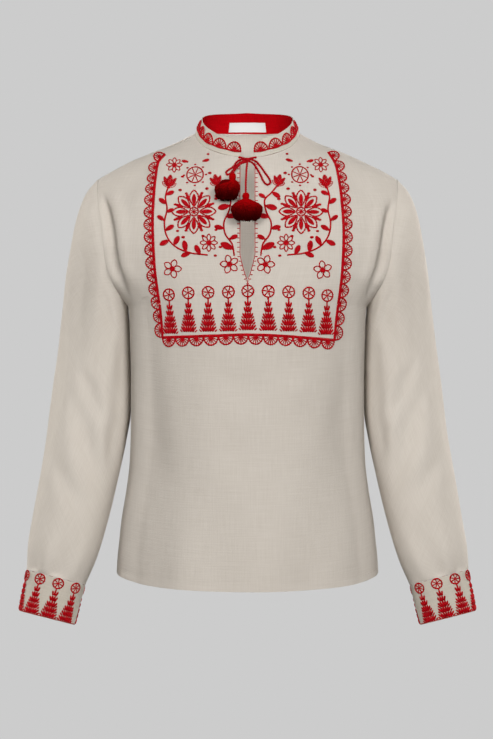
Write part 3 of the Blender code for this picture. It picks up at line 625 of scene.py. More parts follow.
def tube(path, radius, sides, vertices, faces, uvs):
    """Closed tube round a path, added to the lists."""
    t, side, other = frames(path)
    base = sum(len(v) for v in vertices)
    turn = np.linspace(0, 2 * math.pi, sides, endpoint=False)
    r = np.broadcast_to(np.asarray(radius, float), (len(path),))
    ring = (path[:, None] + r[:, None, None] * (np.cos(turn)[None, :, None] * side[:, None] + np.sin(turn)[None, :, None] * other[:, None]))
    run = np.concatenate([[0], np.cumsum(np.linalg.norm(np.diff(path, axis=0), axis=1))]) * 0.001
    uv = np.stack(np.broadcast_arrays((turn / math.tau * 0.004)[None, :], run[:, None]), -1)
    vertices.append(np.vstack([ring.reshape(-1, 3), path[:1], path[-1:]]))
    uvs.append(np.vstack([uv.reshape(-1, 2), [[0, 0], [0, run[-1]]]]))
    n = len(path)
    i, j = np.meshgrid(np.arange(n - 1), np.arange(sides), indexing="ij")
    i, j = i.ravel(), j.ravel()
    k = (j + 1) % sides
    quads = np.stack([i * sides + j, i * sides + k, (i + 1) * sides + k, (i + 1) * sides + j], 1) + base
    faces += quads.tolist()
    first, last = base + n * sides, base + n * sides + 1
    for j in range(sides):
        faces.append([base + (j + 1) % sides, base + j, first])
        faces.append([base + (n - 1) * sides + j, base + (n - 1) * sides + (j + 1) % sides, last])


def mesh_object(name, vertices, faces, uvs, material):
    mesh = bpy.data.meshes.new(name)
    mesh.from_pydata((np.vstack(vertices) * 0.001).tolist(), [], faces)
    give_uv(mesh, np.vstack(uvs))
    mesh.shade_smooth()
    return new_object(name, mesh, material)


def twisted_cord(name, middle, diameter, material, pitch=6.5, plies=2):
    """Plies laid round the cord's middle line."""
    t, side, other = frames(middle)
    run = np.concatenate([[0], np.cumsum(np.linalg.norm(np.diff(middle, axis=0), axis=1))])
    vertices, faces, uvs = [], [], []
    for ply in range(plies):
        angle = run / pitch * math.tau + ply * math.tau / plies
        path = middle + diameter * 0.215 * (np.cos(angle)[:, None] * side + np.sin(angle)[:, None] * other)
        tube(path, diameter * 0.290, 8, vertices, faces, uvs)
    return mesh_object(name, vertices, faces, uvs, material), run[-1]


def pompom(name, spec, strands, seed):
    """Yarn strands that fall from a bound neck over a dense heart."""
    kx, kz, bx, bz, lift, hw, hd, hh = spec
    hw, hd, hh = hw * 0.97, hd * 0.96, hh * 1.10
    rng = np.random.default_rng(seed)
    y = float(depth(bx, bz, -1)) - lift
    neck = np.array([kx, y, kz - 4.2])
    centre = np.array([bx, y, bz])
    vertices, faces, uvs = [], [], []
    # heart
    rings, sides = 12, 20
    for i in range(rings + 1):
        a = math.pi * i / rings
        r = math.sin(a) ** 0.85
        row = [centre + np.array([hw * 0.80 * r * math.cos(b), hd * 0.80 * r * math.sin(b), hh * 0.78 * math.cos(a)])
               for b in np.linspace(0, math.tau, sides, endpoint=False)]
        vertices.append(np.array(row))
        # the heart takes the dark end of the yarn's painted shade
        uvs.append(np.stack([np.full(sides, 0.5), np.full(sides, 0.75)], 1))
    for i in range(rings):
        for j in range(sides):
            k = (j + 1) % sides
            faces.append([i * sides + j, (i + 1) * sides + j, (i + 1) * sides + k, i * sides + k])
    # strands: out over the shoulder, then down to a rounded, ragged end
    steps = 7
    s = np.linspace(0, 1, steps)[None, :]
    base = sum(len(v) for v in vertices)
    about = rng.uniform(0, math.tau, strands)
    q = np.sqrt(rng.uniform(0.42, 1.0, strands)) * rng.uniform(0.95, 1.0, strands)
    q[::3] = rng.uniform(0.93, 1.0, len(q[::3]))
    lump = 1 + 0.045 * np.sin(3 * about + seed) + 0.04 * np.sin(7 * about + 2.0 * seed) + 0.02 * np.sin(13 * about)
    reach = (q * lump)[:, None]
    rad = reach * np.sin(np.minimum(s / 0.60, 1) * math.pi / 2) ** 1.20 * (1 - 0.17 * ease((s - 0.55) / 0.45))
    ang = about[:, None] + rng.normal(0, 0.16, (strands, 1)) * s
    end_z = centre[2] - hh * np.sqrt(np.clip(1 - (q * 0.83) ** 2, 0, 1)) * rng.uniform(0.80, 1.12, strands)
    knob = neck + np.stack([1.8 * np.cos(about), 1.8 * np.sin(about), 0 * about], -1)
    axis_x = knob[:, 0:1] + (centre[0] - knob[:, 0:1]) * ease(s * 1.6)
    axis_y = knob[:, 1:2] + (centre[1] - knob[:, 1:2]) * ease(s * 1.6)
    fall = s**1.08
    px = axis_x + hw * rad * np.cos(ang)
    py = axis_y + hd * rad * np.sin(ang)
    pz = knob[:, 2:3] + (end_z[:, None] - knob[:, 2:3]) * fall
    path = np.stack([px, py, pz], -1)
    path += rng.normal(0, 0.6, path.shape) * s[..., None]
    path[..., 0] = np.clip(path[..., 0], centre[0] - hw, centre[0] + hw)
    path[..., 1] = np.clip(path[..., 1], centre[1] - hd, centre[1] + hd)
    s, final = s[0], q
    t = units(np.gradient(path, axis=1))
    out = units(path - centre[None, None])
    side = units(np.cross(t, out))
    out = np.cross(side, t)
    width = rng.uniform(0.60, 1.05, (strands, 1)) * (1 - 0.12 * s)[None, :]
    pts = []
    for a in (90, 210, 330):
        c, d = math.cos(math.radians(a)), math.sin(math.radians(a))
        pts.append(path + width[..., None] * (c * side + d * out))
    ring = np.stack(pts, 2)  # strands, steps, 3, xyz
    vertices.append(ring.reshape(-1, 3))
    u = about / math.tau + rng.normal(0, 0.008, strands)
    # UV v carries the painted shade: darker down each strand towards its end
    v = np.broadcast_to(s[None, :, None], (strands, steps, 3)) * (0.75 + 0.25 * final[:, None, None])
    uvs.append(np.stack([np.broadcast_to(u[:, None, None], v.shape), v], -1).reshape(-1, 2))
    i, k, j = np.meshgrid(np.arange(strands), np.arange(steps - 1), np.arange(3), indexing="ij")
    i, k, j = i.ravel(), k.ravel(), j.ravel()
    at = base + i * steps * 3 + k * 3
    quads = np.stack([at + j, at + (j + 1) % 3, at + 3 + (j + 1) % 3, at + 3 + j], 1)
    faces += quads.tolist()
    i = np.arange(strands)
    tips = base + i * steps * 3 + (steps - 1) * 3
    faces += np.stack([tips, tips + 1, tips + 2], 1).tolist()
    # bound neck: close turns of cord
    turns = np.linspace(0, 1, 90)
    a = turns * math.tau * 4.2
    top = np.array([kx, y, kz + 3.2])
    knob_r = 1.7 + 2.3 * np.sin(math.pi * (0.12 + 0.68 * turns))
    helix = top + (neck - top) * turns[:, None] + np.stack([knob_r * np.cos(a), 0.88 * knob_r * np.sin(a), 0 * a], -1)
    tube(helix, 1.35, 7, vertices, faces, uvs)
    plug = np.linspace(0, 1, 6)
    tube(top + (neck - top) * plug[:, None] + np.array([0, 0, 0.6]), 2.6, 12, vertices, faces, uvs)
    # binding and plug sit at the bright end of the yarn's painted shade
    uvs[-1][:, 1] = 0.05
    uvs[-2][:, 1] = 0.05
    return mesh_object(name, vertices, faces, uvs, POM_YARN_PAINTED_SHADE)


pom_left = pompom("pompom_left_yarn", POMPOM_LEFT, 1300, 5)
pom_centre = pompom("pompom_centre_yarn", POMPOM_CENTRE, 1800, 8)

left_middle = catmull([on_front(*q) for q in TIE_LEFT], 0.55)
right_middle = catmull([on_front(*q) for q in TIE_RIGHT], 0.55)
tie_left, left_long = twisted_cord("tie_cord_left", left_middle, CORD, CORD_YARN)
tie_right, right_long = twisted_cord("tie_cord_right", right_middle, CORD, CORD_YARN)

# the bow's knot: close turns round the crossing cords
kx, kz, klift, khx, khy, khz = KNOT
knot_c = on_front(kx, kz, klift)
turns = np.linspace(0, 1, 110)
wrap = []
for share in turns:
    a = share * math.tau * 2.3
    wrap.append(knot_c + np.array([(khx - 2.1 + 0.9) * math.cos(a), (khy - 0.9) * math.sin(a), (share - 0.5) * 4.4]))
vertices, faces, uvs = [], [], []
tube(np.array(wrap), 1.05, 9, vertices, faces, uvs)
tie_knot = mesh_object("tie_knot_wrap", vertices, faces, uvs, CORD_YARN)

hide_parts("tie_lead_left", "tie_loop_left", "tie_end_left")
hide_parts("tie_lead_right", "tie_loop_right", "tie_end_centre")
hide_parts("tie_knot")
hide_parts("pompom_left")
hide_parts("pompom_centre")


# --------------------------------------------------------------- body panels
def half_panel(side, side_cols, neck_cols, low, top):
    """Points of half a panel, rows from hem to top, columns from side to centre."""
    last = math.acos((NECK_HALF / SHOULDER_HALF) ** (P_TOP / 2))
    spread = SHOULDER_HALF * np.cos(last * np.linspace(0, 1, side_cols + 1)) ** (2 / P_TOP)
    end = math.pi - math.asin(SLIT_HALF / NECK_HALF) if side < 0 else math.pi
    turn = np.linspace(math.pi / 2, end, neck_cols + 1)[1:]
    inner = NECK_HALF * np.sin(turn)
    w_top = SLIT_HALF if side < 0 else 0.0
    share = np.clip((np.concatenate([spread, inner]) - w_top) / (SHOULDER_HALF - w_top), 0, 1)
    share[-1] = 0.0
    C = share[None, :]
    middle = UNDERARM_Z + (SLIT_TIP_Z - UNDERARM_Z) * (1 - C * C)
    F = np.linspace(0, 1, low + 1)[:, None]
    z_side = HEM_SIDE_Z + (UNDERARM_Z - HEM_SIDE_Z) * F
    hem = hem_height(C)
    z = hem + (middle - hem) * F
    x = C * half_at(z_side)
    y = depth(x, z, side)
    y[:, 0] = 0.0
    lower = np.stack(np.broadcast_arrays(x, y, z), -1)
    F = ((1 - np.cos(math.pi * np.arange(1, top + 1) / top)) / 2)[:, None]
    z_side = UNDERARM_Z + (SHOULDER_Z - UNDERARM_Z) * F
    x_top = w_top + (SHOULDER_HALF - w_top) * C
    z = middle + (top_height(x_top, side) - middle) * F
    w = slit_half(z) if side < 0 else 0.0
    x = w + (armhole_at(z_side) - w) * C
    upper = np.stack(np.broadcast_arrays(x, depth(x, z, side), z), -1)
    return np.vstack([lower, upper])


def arc_uv(points):
    """Metres along rows and columns of a grid of points."""
    du = np.linalg.norm(np.diff(points, axis=1), axis=2)
    dv = np.linalg.norm(np.diff(points, axis=0), axis=2)
    u = np.concatenate([np.zeros((points.shape[0], 1)), np.cumsum(du, axis=1)], 1)
    v = np.concatenate([np.zeros((1, points.shape[1])), np.cumsum(dv, axis=0)], 0)
    u -= u[:, -1:]
    return np.stack([u, v], -1) * 0.001


def body_panel(name, side, side_cols, neck_cols, low, top):
    half = half_panel(side, side_cols, neck_cols, low, top)
    rows, cols = half.shape[:2]
    left = half.copy()
    left[..., 0] *= -1
    uv_left = arc_uv(left)
    uv_right = uv_left * (-1, 1)
    index_left = np.arange(rows * cols).reshape(rows, cols)
    index_right = index_left + rows * cols
    shared = slice(0, low + 1) if side < 0 else slice(0, rows)
    index_right = index_right.copy()
    index_right[shared, -1] = index_left[shared, -1]
    p = np.vstack([left.reshape(-1, 3), half.reshape(-1, 3)])
    uv = np.vstack([uv_left.reshape(-1, 2), uv_right.reshape(-1, 2)])
    p[index_left[shared, -1], 0] = 0.0
    quads_left, quads_right = grid_quads(index_left), grid_quads(index_right)[:, ::-1]
    quads = np.vstack([quads_left, quads_right])
    if side > 0:
        quads = quads[:, ::-1]
    used = np.unique(quads)
    remap = np.full(len(p), -1)
    remap[used] = np.arange(len(used))
    normals = sheet_normals(p, quads)
    p = p + normals * body_crease(p[:, 0], p[:, 2], side)[:, None]
    for index, sign in ((index_left, -1), (index_right, 1)):
        edge = index[: low + 1, 0]
        p[edge, 1] = side * SEAM / 2
        normals[edge] = (sign, 0, 0)
        edge = index[-1, : side_cols + 1]
        p[edge, 1] = side * SEAM / 2
        n = normals[edge]
        n[:, 1] = 0
        normals[edge] = units(n)
    return shell(name, p[used], remap[quads], normals[used], CLOTH, uv[used], LINEN, area_out=AREAS)


front = body_panel("front_cloth", -1, 46, 26, 88, 66)
back = body_panel("back_cloth", 1, 40, 20, 76, 54)


# ------------------------------------------------------------------- sleeves
def ring_points(sizes, turn):
    """Points of rings; turn in degrees, 0 outside, 90 in front, 180 inside."""
    ox, oz, ix, iz, y, half_depth, bow, tilt = sizes
    c, s = np.cos(np.radians(turn)), np.sin(np.radians(turn))
    cc = np.sign(c) * np.abs(c) ** (2 / P_SLEEVE)
    ss = np.sign(s) * np.abs(s) ** (2 / P_SLEEVE)
    ex, ez = (ox - ix) / 2, (oz - iz) / 2
    length = np.hypot(ex, ez)
    bx, bz = ez / length, -ex / length
    flip = np.where(bx < 0, -1, 1)
    bx, bz = bx * flip, bz * flip
    return np.stack(np.broadcast_arrays(
        (ox + ix) / 2 + ex * cc + bx * bow * s * s,
        y - half_depth * ss,
        (oz + iz) / 2 + ez * cc + bz * bow * s * s + tilt * half_depth * ss,
    ), -1)


def armhole_points(turn):
    """The body's own armhole edge at a turn round the sleeve."""
    side = np.where(turn <= 180, -1, 1)
    about = np.where(turn <= 180, 1 - turn / 180, (turn - 180) / 180)
    f = (1 - np.cos(math.pi * about)) / 2
    z = UNDERARM_Z + (SHOULDER_Z - UNDERARM_Z) * f
    x = armhole_at(z)
    y = np.where(side < 0, depth(x, z, -1), depth(x, z, 1))
    y = np.where(np.abs(turn - 180) < 1e-6, 0.0, y)
    return np.stack([x, y, z], -1)


def sleeve(name, half, stations, count):
    turn = np.linspace(0, 360, count, endpoint=False)
    s = np.linspace(0, 12, stations) ** 1.0
    sizes = [t(s)[:, None] for t in sleeve_at]
    p = ring_points(sizes, turn[None, :])
    seam = armhole_points(turn)
    first = ring_points([float(t(0.0)) for t in sleeve_at], turn)
    blend = (np.clip(1 - s / 3.5, 0, 1) ** 2)[:, None]
    p = p + blend[..., None] * (seam + (SEAM, 0, 0) - first)[None]
    p[0] = seam + (SEAM + 0.05, 0, 0)
    p[..., 0] *= half
    closed = np.concatenate([p, p[:, :1]], 1)
    uv = arc_uv(closed)
    down = (uv[..., 1].mean(axis=1) * 1000)[:, None] + 0 * turn[None, :]
    signed = np.where(turn > 180, turn - 360, turn)[None, :] + 0 * s[:, None]
    around = uv[..., 0].max(axis=1) - uv[..., 0].min(axis=1)
    round_mm = signed / 360 * around[:, None] * 1000
    round_mm = signed / 180 * 165
    index = np.arange(stations * count).reshape(stations, count)
    # one more column for the UVs, so that the weave runs on across the seam
    wide = np.concatenate([index, index[:, :1]], 1)
    quads = grid_quads(wide)[:, ::-1] if half < 0 else grid_quads(wide)
    flat = p.reshape(-1, 3)
    normals = sheet_normals(flat, quads)
    middle = np.repeat(p.mean(axis=1), count, axis=0)
    if np.mean(np.einsum("ij,ij->i", normals, flat - middle)) < 0:
        quads, normals = quads[:, ::-1], -normals
    crease = sleeve_crease(round_mm, down, half)
    crease *= ease(down / 14) * ease((np.max(down) - down) / 5)
    inside = ease((np.abs(signed) - 118) / 34)
    crease = np.where(crease > 0, crease * (1 - inside), crease * (1 - 0.55 * inside))
    flat = flat + normals * crease.reshape(-1, 1)
    for side in (-1, 1):
        rows = np.where(((turn <= 110) if side < 0 else (turn >= 250)) | (turn == 0))[0]
        q = seam[rows]
        e = 1.0
        x, z = q[:, 0] - 1.5, q[:, 2] - 1.0
        gx = (depth(x + e, z, side) - depth(x - e, z, side)) / 2
        gz = (depth(x, z + e, side) - depth(x, z - e, side)) / 2
        n = units(np.stack([-side * gx, side * np.ones_like(gx), -side * gz], -1))
        n[:, 0] *= half
        normals[rows] = n
    normals[0] = units(np.array([half * 0.43, 0, 0.9]))
    uv_flat = uv[:, :-1].reshape(-1, 2)
    # the sleeves take the linen with painted light, about 6% lighter than the body
    obj = shell(name, flat, quads, normals, CLOTH, uv_flat, SLEEVE_LINEN_PAINTED_LIGHT, area_out=AREAS)
    # weave across the closing column
    mesh = obj.data
    loops = np.empty(len(mesh.loops), np.int32)
    mesh.loops.foreach_get("vertex_index", loops)
    layer = mesh.uv_layers.active.data
    values = np.empty(len(loops) * 2, np.float32)
    layer.foreach_get("uv", values)
    values = values.reshape(-1, 2)
    column = loops % count if (stations * count) % count == 0 else loops
    total = uv[:, -1, 0] - uv[:, 0, 0]
    starts = np.empty(len(mesh.polygons), np.int32)
    sizes_ = np.empty(len(mesh.polygons), np.int32)
    mesh.polygons.foreach_get("loop_start", starts)
    mesh.polygons.foreach_get("loop_total", sizes_)
    last = np.zeros(len(loops), bool)
    for k in range(4):
        last[starts[sizes_ > k] + k] = False
    owner = np.repeat(np.arange(len(starts)), sizes_)
    has_last = np.zeros(len(starts), bool)
    np.logical_or.at(has_last, owner, column == count - 1)
    has_first = np.zeros(len(starts), bool)
    np.logical_or.at(has_first, owner, column == 0)
    wrap_loop = (column == 0) & (has_last & has_first)[owner]
    row = (loops % (stations * count)) // count
    values[wrap_loop, 0] += total[row[wrap_loop]]
    layer.foreach_set("uv", values.ravel())
    return obj


sleeve_left = sleeve("sleeve_left_cloth", -1, 150, 100)
sleeve_right = sleeve("sleeve_right_cloth", 1, 150, 100)


# --------------------------------------------------------------------- cuffs
def cuff_points(half, turn, s):
    sizes = [t(s) for t in cuff_at] + [0.0, CUFF_TILT]
    p = ring_points(sizes, turn)
    p[..., 0] *= half
    return p


fine_turns = np.linspace(0, 360, 721)
cuff_run = np.concatenate([[0], np.cumsum(np.linalg.norm(np.diff(cuff_points(1, fine_turns, 1.0), axis=0), axis=1))])
CUFF_ROUND = float(cuff_run[-1])


def cuff_place(half, inset=0.0):
    """a: mm round from the front middle, + to the inner side; b: mm down."""

    def place(a, b):
        at = np.interp(90.0, fine_turns, cuff_run) + a
        turn = np.interp(np.mod(at, CUFF_ROUND), cuff_run, fine_turns)
        s = np.clip(b / CUFF_TALL * 2, 0, 2)
        p = cuff_points(half, turn, s)
        along_t = cuff_points(half, turn + 1, s) - cuff_points(half, turn - 1, s)
        down = cuff_points(half, turn, np.minimum(s + 0.1, 2)) - cuff_points(half, turn, np.maximum(s - 0.1, 0))
        n = units(np.cross(along_t, down))
        centre = np.stack([half * (cuff_at[0](s) + cuff_at[2](s)) / 2, cuff_at[4](s), (cuff_at[1](s) + cuff_at[3](s)) / 2], -1)
        flip = np.sign(np.einsum("...i,...i->...", n, p - centre))
        n = n * flip[..., None]
        return p - n * inset, n

    return place


def cuff(name, half):
    count, rows = 140, 22
    turn = np.linspace(0, 360, count, endpoint=False)
    s = np.linspace(0, 2, rows)
    p = cuff_points(half, turn[None, :] + 0 * s[:, None], s[:, None] + 0 * turn[None, :])
    uv = arc_uv(np.concatenate([p, p[:, :1]], 1))
    index = np.arange(rows * count).reshape(rows, count)
    wide = np.concatenate([index, index[:, :1]], 1)
    quads = grid_quads(wide)
    flat = p.reshape(-1, 3)
    normals = sheet_normals(flat, quads)
    middle = np.repeat(p.mean(axis=1), count, axis=0)
    if np.mean(np.einsum("ij,ij->i", normals, flat - middle)) < 0:
        quads, normals = quads[:, ::-1], -normals
    axis = units(np.array([half * 0.2249, -CUFF_TILT, -0.9744]))
    normals = units(normals - (normals @ axis)[:, None] * axis)
    # pressed edges and a soft ripple between them
    b = np.repeat(s / 2 * CUFF_TALL, count)
    soft = -0.45 * np.exp(-((b / 1.2) ** 2)) - 0.45 * np.exp(-(((CUFF_TALL - b) / 1.2) ** 2))
    soft += 0.25 * np.sin(b / 9 + flat[:, 0] / 14) * ease(b / 8) * ease((CUFF_TALL - b) / 8)
    flat = flat + normals * soft[:, None]
    return shell(name, flat, quads, normals, BAND, uv[:, :-1].reshape(-1, 2), CUFF_LINEN, area_out=AREAS)


cuff_left = cuff("cuff_left_cloth", -1)
cuff_right = cuff("cuff_right_cloth", 1)


# -------------------------------------------------------------------- collar
def neck_seam(turn):
    a = np.abs(turn)
    x = NECK_HALF * np.sin(np.radians(a))
    z = seam_height(a)
    y = np.where(a > 90, depth(x, z, -1), depth(x, z, 1))
    return np.stack([np.sign(turn) * x, y, z], -1)


def rim(turn):
    a = np.radians(np.abs(turn))
    y = RIM_Y + np.where(np.cos(a) > 0, RIM_BACK, RIM_FRONT) * np.cos(a)
    return np.stack([np.sign(turn) * RIM_HALF * np.sin(a), y, rim_height(np.abs(turn))], -1)


EDGE_TURN = 180.0 - math.degrees(math.asin(SLIT_HALF / NECK_HALF))


def collar_bow(turn, share):
    """Height of a slight rounding between the band's seam and rim."""
    return 1.1 * np.sin(math.pi * np.clip(share, 0, 1)) + 0.5 * np.sin(turn / 17.0) * np.sin(math.pi * np.clip(share, 0, 1))


def collar_points(turn, h):
    """h: share of the height from the seam to the rim."""
    base, top = neck_seam(turn), rim(turn)
    off = np.clip((np.abs(base[..., 0]) - SLIT_HALF) / CORNER_REACH, 0, 1)
    keep = np.where(np.abs(turn) > 120, CORNER_KEEP + (1 - CORNER_KEEP) * np.sqrt(np.clip(1 - (1 - off) ** 2, 0, 1)), 1.0)
    up = top - base
    start = base + units(up) * (SEAM + 0.25)
    end = base + up * keep[..., None]
    return start + (end - start) * np.asarray(h)[..., None]


def collar_sheet(columns, levels):
    turn = EDGE_TURN * np.sin(np.linspace(-math.pi / 2, math.pi / 2, columns))
    h = np.linspace(0, 1, levels)
    p = collar_points(turn[None, :] + 0 * h[:, None], h[:, None] + 0 * turn[None, :])
    index = np.arange(columns * levels).reshape(levels, columns)
    quads = grid_quads(index)
    flat = p.reshape(-1, 3)
    normals = sheet_normals(flat, quads)
    if np.mean(np.einsum("ij,ij->i", normals[:, :2], flat[:, :2] - (0, -6))) < 0:
        quads, normals = quads[:, ::-1], -normals
    return turn, p, quads, flat, normals


turn_c, grid_c, quads_c, flat_c, normals_c = collar_sheet(160, 11)
uv_c = arc_uv(grid_c).reshape(-1, 2)
collar = shell("collar_cloth", flat_c, quads_c, normals_c, COLLAR_WALL, uv_c, COLLAR_LINEN, area_out=AREAS)
facing = shell("collar_facing_cloth", flat_c, quads_c, normals_c, FACING_WALL, uv_c, FACING, shift=COLLAR_WALL + 0.15, area_out=AREAS)

collar_run = np.concatenate([[0], np.cumsum(np.linalg.norm(np.diff(grid_c[5], axis=0), axis=1))])
collar_run -= np.interp(0.0, turn_c, collar_run)
COLLAR_HALF_ROUND = float(collar_run[-1])


def collar_place(a, b):
    """a: mm round from centre back; b: mm up from the seam."""
    turn = np.interp(a, collar_run, turn_c)
    base, top = neck_seam(turn), rim(turn)
    up = units(top - base)
    p = base + up * b[..., None]
    e = 0.7
    across = collar_points(np.minimum(turn + e, EDGE_TURN), 0.4 + 0 * turn) - collar_points(np.maximum(turn - e, -EDGE_TURN), 0.4 + 0 * turn)
    n = units(np.cross(across, up))
    flip = np.sign(n[..., 0] * p[..., 0] + n[..., 1] * (p[..., 1] + 6))
    return p, n * flip[..., None]


def make_label():
    """A bare strip on the facing at centre back."""
    inset = COLLAR_WALL + 0.15 + FACING_WALL + 0.35
    cols, rows = 24, 8
    a = np.linspace(-LABEL_W / 2, LABEL_W / 2, cols)[None, :]
    b = np.linspace(3.2, 3.2 + LABEL_H, rows)[:, None]
    A, B = np.broadcast_arrays(a, b)
    p, n = collar_place(A.ravel(), B.ravel())
    n = n / np.linalg.norm(n, axis=1)[:, None]
    index = np.arange(cols * rows).reshape(rows, cols)
    quads = grid_quads(index)
    flat = p - n * inset
    check = sheet_normals(flat, quads)
    if np.mean(np.einsum("ij,ij->i", check, n)) < 0:
        quads = quads[:, ::-1]
    uv = np.stack([A.ravel(), B.ravel()], 1) * 0.001
    return shell("label_satin_strip", flat, quads, n, LABEL_T, uv, LABEL_SATIN, area_out=AREAS)


label = make_label()


# ---------------------------------------------------------------- embroidery
def sew(name, rows, place, material, sides=5):
    """One raised spindle for each stitch. rows: a, b of both ends and width."""
    r = np.array(rows, float)
    count = len(r)
    t = np.array([0.0, 0.2, 0.5, 0.8, 1.0])
    full = np.array([0.3, 0.94, 1.0, 0.94, 0.3])
    a = r[:, 0:1] * (1 - t) + r[:, 2:3] * t
    b = r[:, 1:2] * (1 - t) + r[:, 3:4] * t
    p, n = place(a.ravel(), b.ravel())
    p, n = p.reshape(count, 5, 3), n.reshape(count, 5, 3)
    d = units(p[:, -1] - p[:, 0])[:, None]
    side = units(np.cross(n, d))
    w = r[:, 4][:, None]
    lift = (0.30 * w * full - 0.10)[..., None]
    centre = p + n * lift
    tips = np.stack([centre[:, 0], centre[:, -1]], 1)
    angles = np.radians(90 + 360 / sides * np.arange(sides))
    core = centre[:, 1:4]
    rad = (w * full)[:, 1:4]
    ring = (core[:, :, None] + (0.5 * rad)[:, :, None, None] * np.cos(angles)[None, None, :, None] * side[:, 1:4, None]
            + (0.40 * rad)[:, :, None, None] * np.sin(angles)[None, None, :, None] * n[:, 1:4, None])
    verts = np.concatenate([tips, ring.reshape(count, -1, 3)], 1)  # tip, tip, rings
    length = np.linalg.norm(p[:, -1] - p[:, 0], axis=1)
    uv = np.zeros((count, 2 + 3 * sides, 2))
    uv[:, 1, 1] = length
    for k in range(3):
        rows_k = slice(2 + k * sides, 2 + (k + 1) * sides)
        uv[:, rows_k, 0] = np.arange(sides) / sides * 1.6
        uv[:, rows_k, 1] = (length * t[k + 1])[:, None]
    per = 2 + 3 * sides
    tri, quad = [], []
    for j in range(sides):
        k = (j + 1) % sides
        tri.append((0, 2 + k, 2 + j))
        tri.append((1, 2 + 2 * sides + j, 2 + 2 * sides + k))
        for m in (0, 1):
            lo, hi = 2 + m * sides, 2 + (m + 1) * sides
            quad.append((lo + j, lo + k, hi + k, hi + j))
    base = (np.arange(count) * per)[:, None, None]
    tris = (np.array(tri)[None] + base).reshape(-1, 3)
    quads = (np.array(quad)[None] + base).reshape(-1, 4)
    mesh = bpy.data.meshes.new(name)
    mesh.from_pydata((verts.reshape(-1, 3) * 0.001).tolist(), [], tris.tolist() + quads.tolist())
    give_uv(mesh, uv.reshape(-1, 2) * 0.001)
    mesh.shade_smooth()
    return new_object(name, mesh, material)


def run_points(points, step, smooth=True):
    p = np.array(points, float)
    if smooth and len(p) > 2:
        return catmull(p, step)
    run = np.concatenate([[0], np.cumsum(np.linalg.norm(np.diff(p, axis=0), axis=1))])
    want = np.linspace(0, run[-1], max(2, int(round(run[-1] / step)) + 1))
    return np.stack([np.interp(want, run, p[:, c]) for c in range(2)], 1)


def line(rows, points, width, step=2.6, over=0.35, smooth=True):
    """Stem stitch along a line: each stitch starts before the last one ends."""
    q = run_points(points, step, smooth)
    for i in range(len(q) - 1):
        d = q[i + 1] - q[i]
        s, e = q[i] - d * over, q[i + 1] + d * over
        off = np.array([-d[1], d[0]]) / max(np.hypot(*d), 1e-9) * width * 0.12
        rows.append((*(s - off), *(e + off), width))


def satin_line(rows, points, across, width, pitch, slant=0.4, smooth=True):
    """A thick line of slanted stitches."""
    q = run_points(points, pitch, smooth)
    d = np.gradient(q, axis=0)
    d /= np.maximum(np.linalg.norm(d, axis=1), 1e-9)[:, None]
    n = np.stack([-d[:, 1], d[:, 0]], 1)
    for c, t, m in zip(q, d, n):
        s, e = c - m * across / 2 - t * slant * across / 2, c + m * across / 2 + t * slant * across / 2
        rows.append((*s, *e, width))


def circle(rows, x, z, radius, width, pieces, squash=1.0):
    a = np.linspace(0, math.tau, pieces + 1)
    for i in range(pieces):
        s, e = a[i] - 0.06, a[i + 1] + 0.06
        rows.append((x + radius * squash * math.cos(s), z + radius * math.sin(s),
                     x + radius * squash * math.cos(e), z + radius * math.sin(e), width))


def dot(rows, x, z, radius, squash=1.0):
    """A small filled berry."""
    count = max(3, int(radius * 2 / 1.0))
    for i in range(count):
        u = -1 + 2 * (i + 0.5) / count
        h = radius * math.sqrt(max(1 - u * u, 0.05))
        rows.append((x + u * radius * squash, z - h, x + u * radius * squash, z + h, 2.1 * radius / count + 0.35))


def wheel(rows, x, z, radius, spokes, width, squash=1.0, hub=1.7, start=0.5):
    circle(rows, x, z, radius, width, max(14, int(radius * 2.0)), squash)
    for i in range(spokes):
        a = math.tau * (i + start) / spokes
        rows.append((x + hub * 0.4 * squash * math.cos(a), z + hub * 0.4 * math.sin(a),
                     x + radius * 0.96 * squash * math.cos(a), z + radius * 0.96 * math.sin(a), width * 0.78))
    dot(rows, x, z, hub, squash)


def petal(rows, x, z, angle, length, width, thread_w, fill=True, parts=3, power=1.15):
    """A lazy-daisy loop from x z outward."""
    u = np.array([math.cos(angle), math.sin(angle)])
    v = np.array([-u[1], u[0]])
    for sign in (-1, 1):
        t = np.linspace(0, 1, parts + 1)
        pts = np.array([x, z]) + u * (t * length)[:, None] + v * (sign * width / 2 * np.sin(math.pi * t**power) ** 0.8)[:, None]
        for i in range(parts):
            d = (pts[i + 1] - pts[i]) * 0.12
            rows.append((*(pts[i] - d), *(pts[i + 1] + d), thread_w))
    if fill:
        s, e = np.array([x, z]) + u * length * 0.28, np.array([x, z]) + u * length * 0.80
        rows.append((*s, *e, thread_w * 1.15))


def fan(rows, x, z, ux, uz, width, height, side=1.0, thread_w=1.9, base=0.0, spokes=7, hub=0.28):
    """A half wheel standing on a line: u runs along the line, v outward."""
    u = np.array([ux, uz])
    v = np.array([-uz, ux]) * side
    o = np.array([x, z])

    def at(a, share):
        return o + u * (width / 2 * share * math.cos(a)) + v * (base + height * share * math.sin(a))

    arc = np.linspace(-0.06, math.pi + 0.06, 12)
    for i in range(11):
        s, e = at(arc[i] - 0.04, 0.94), at(arc[i + 1] + 0.04, 0.94)
        rows.append((*s, *e, thread_w * 1.25))
    for i in range(spokes):
        a = math.pi * (0.12 + 0.76 * i / (spokes - 1))
        rows.append((*at(a, hub * 0.5), *at(a, 0.94), thread_w * 0.80))
    for i in range(7):
        a = math.pi * (i + 0.5) / 7
        rows.append((*at(a, 0.0), *at(a, hub), thread_w * 0.9))


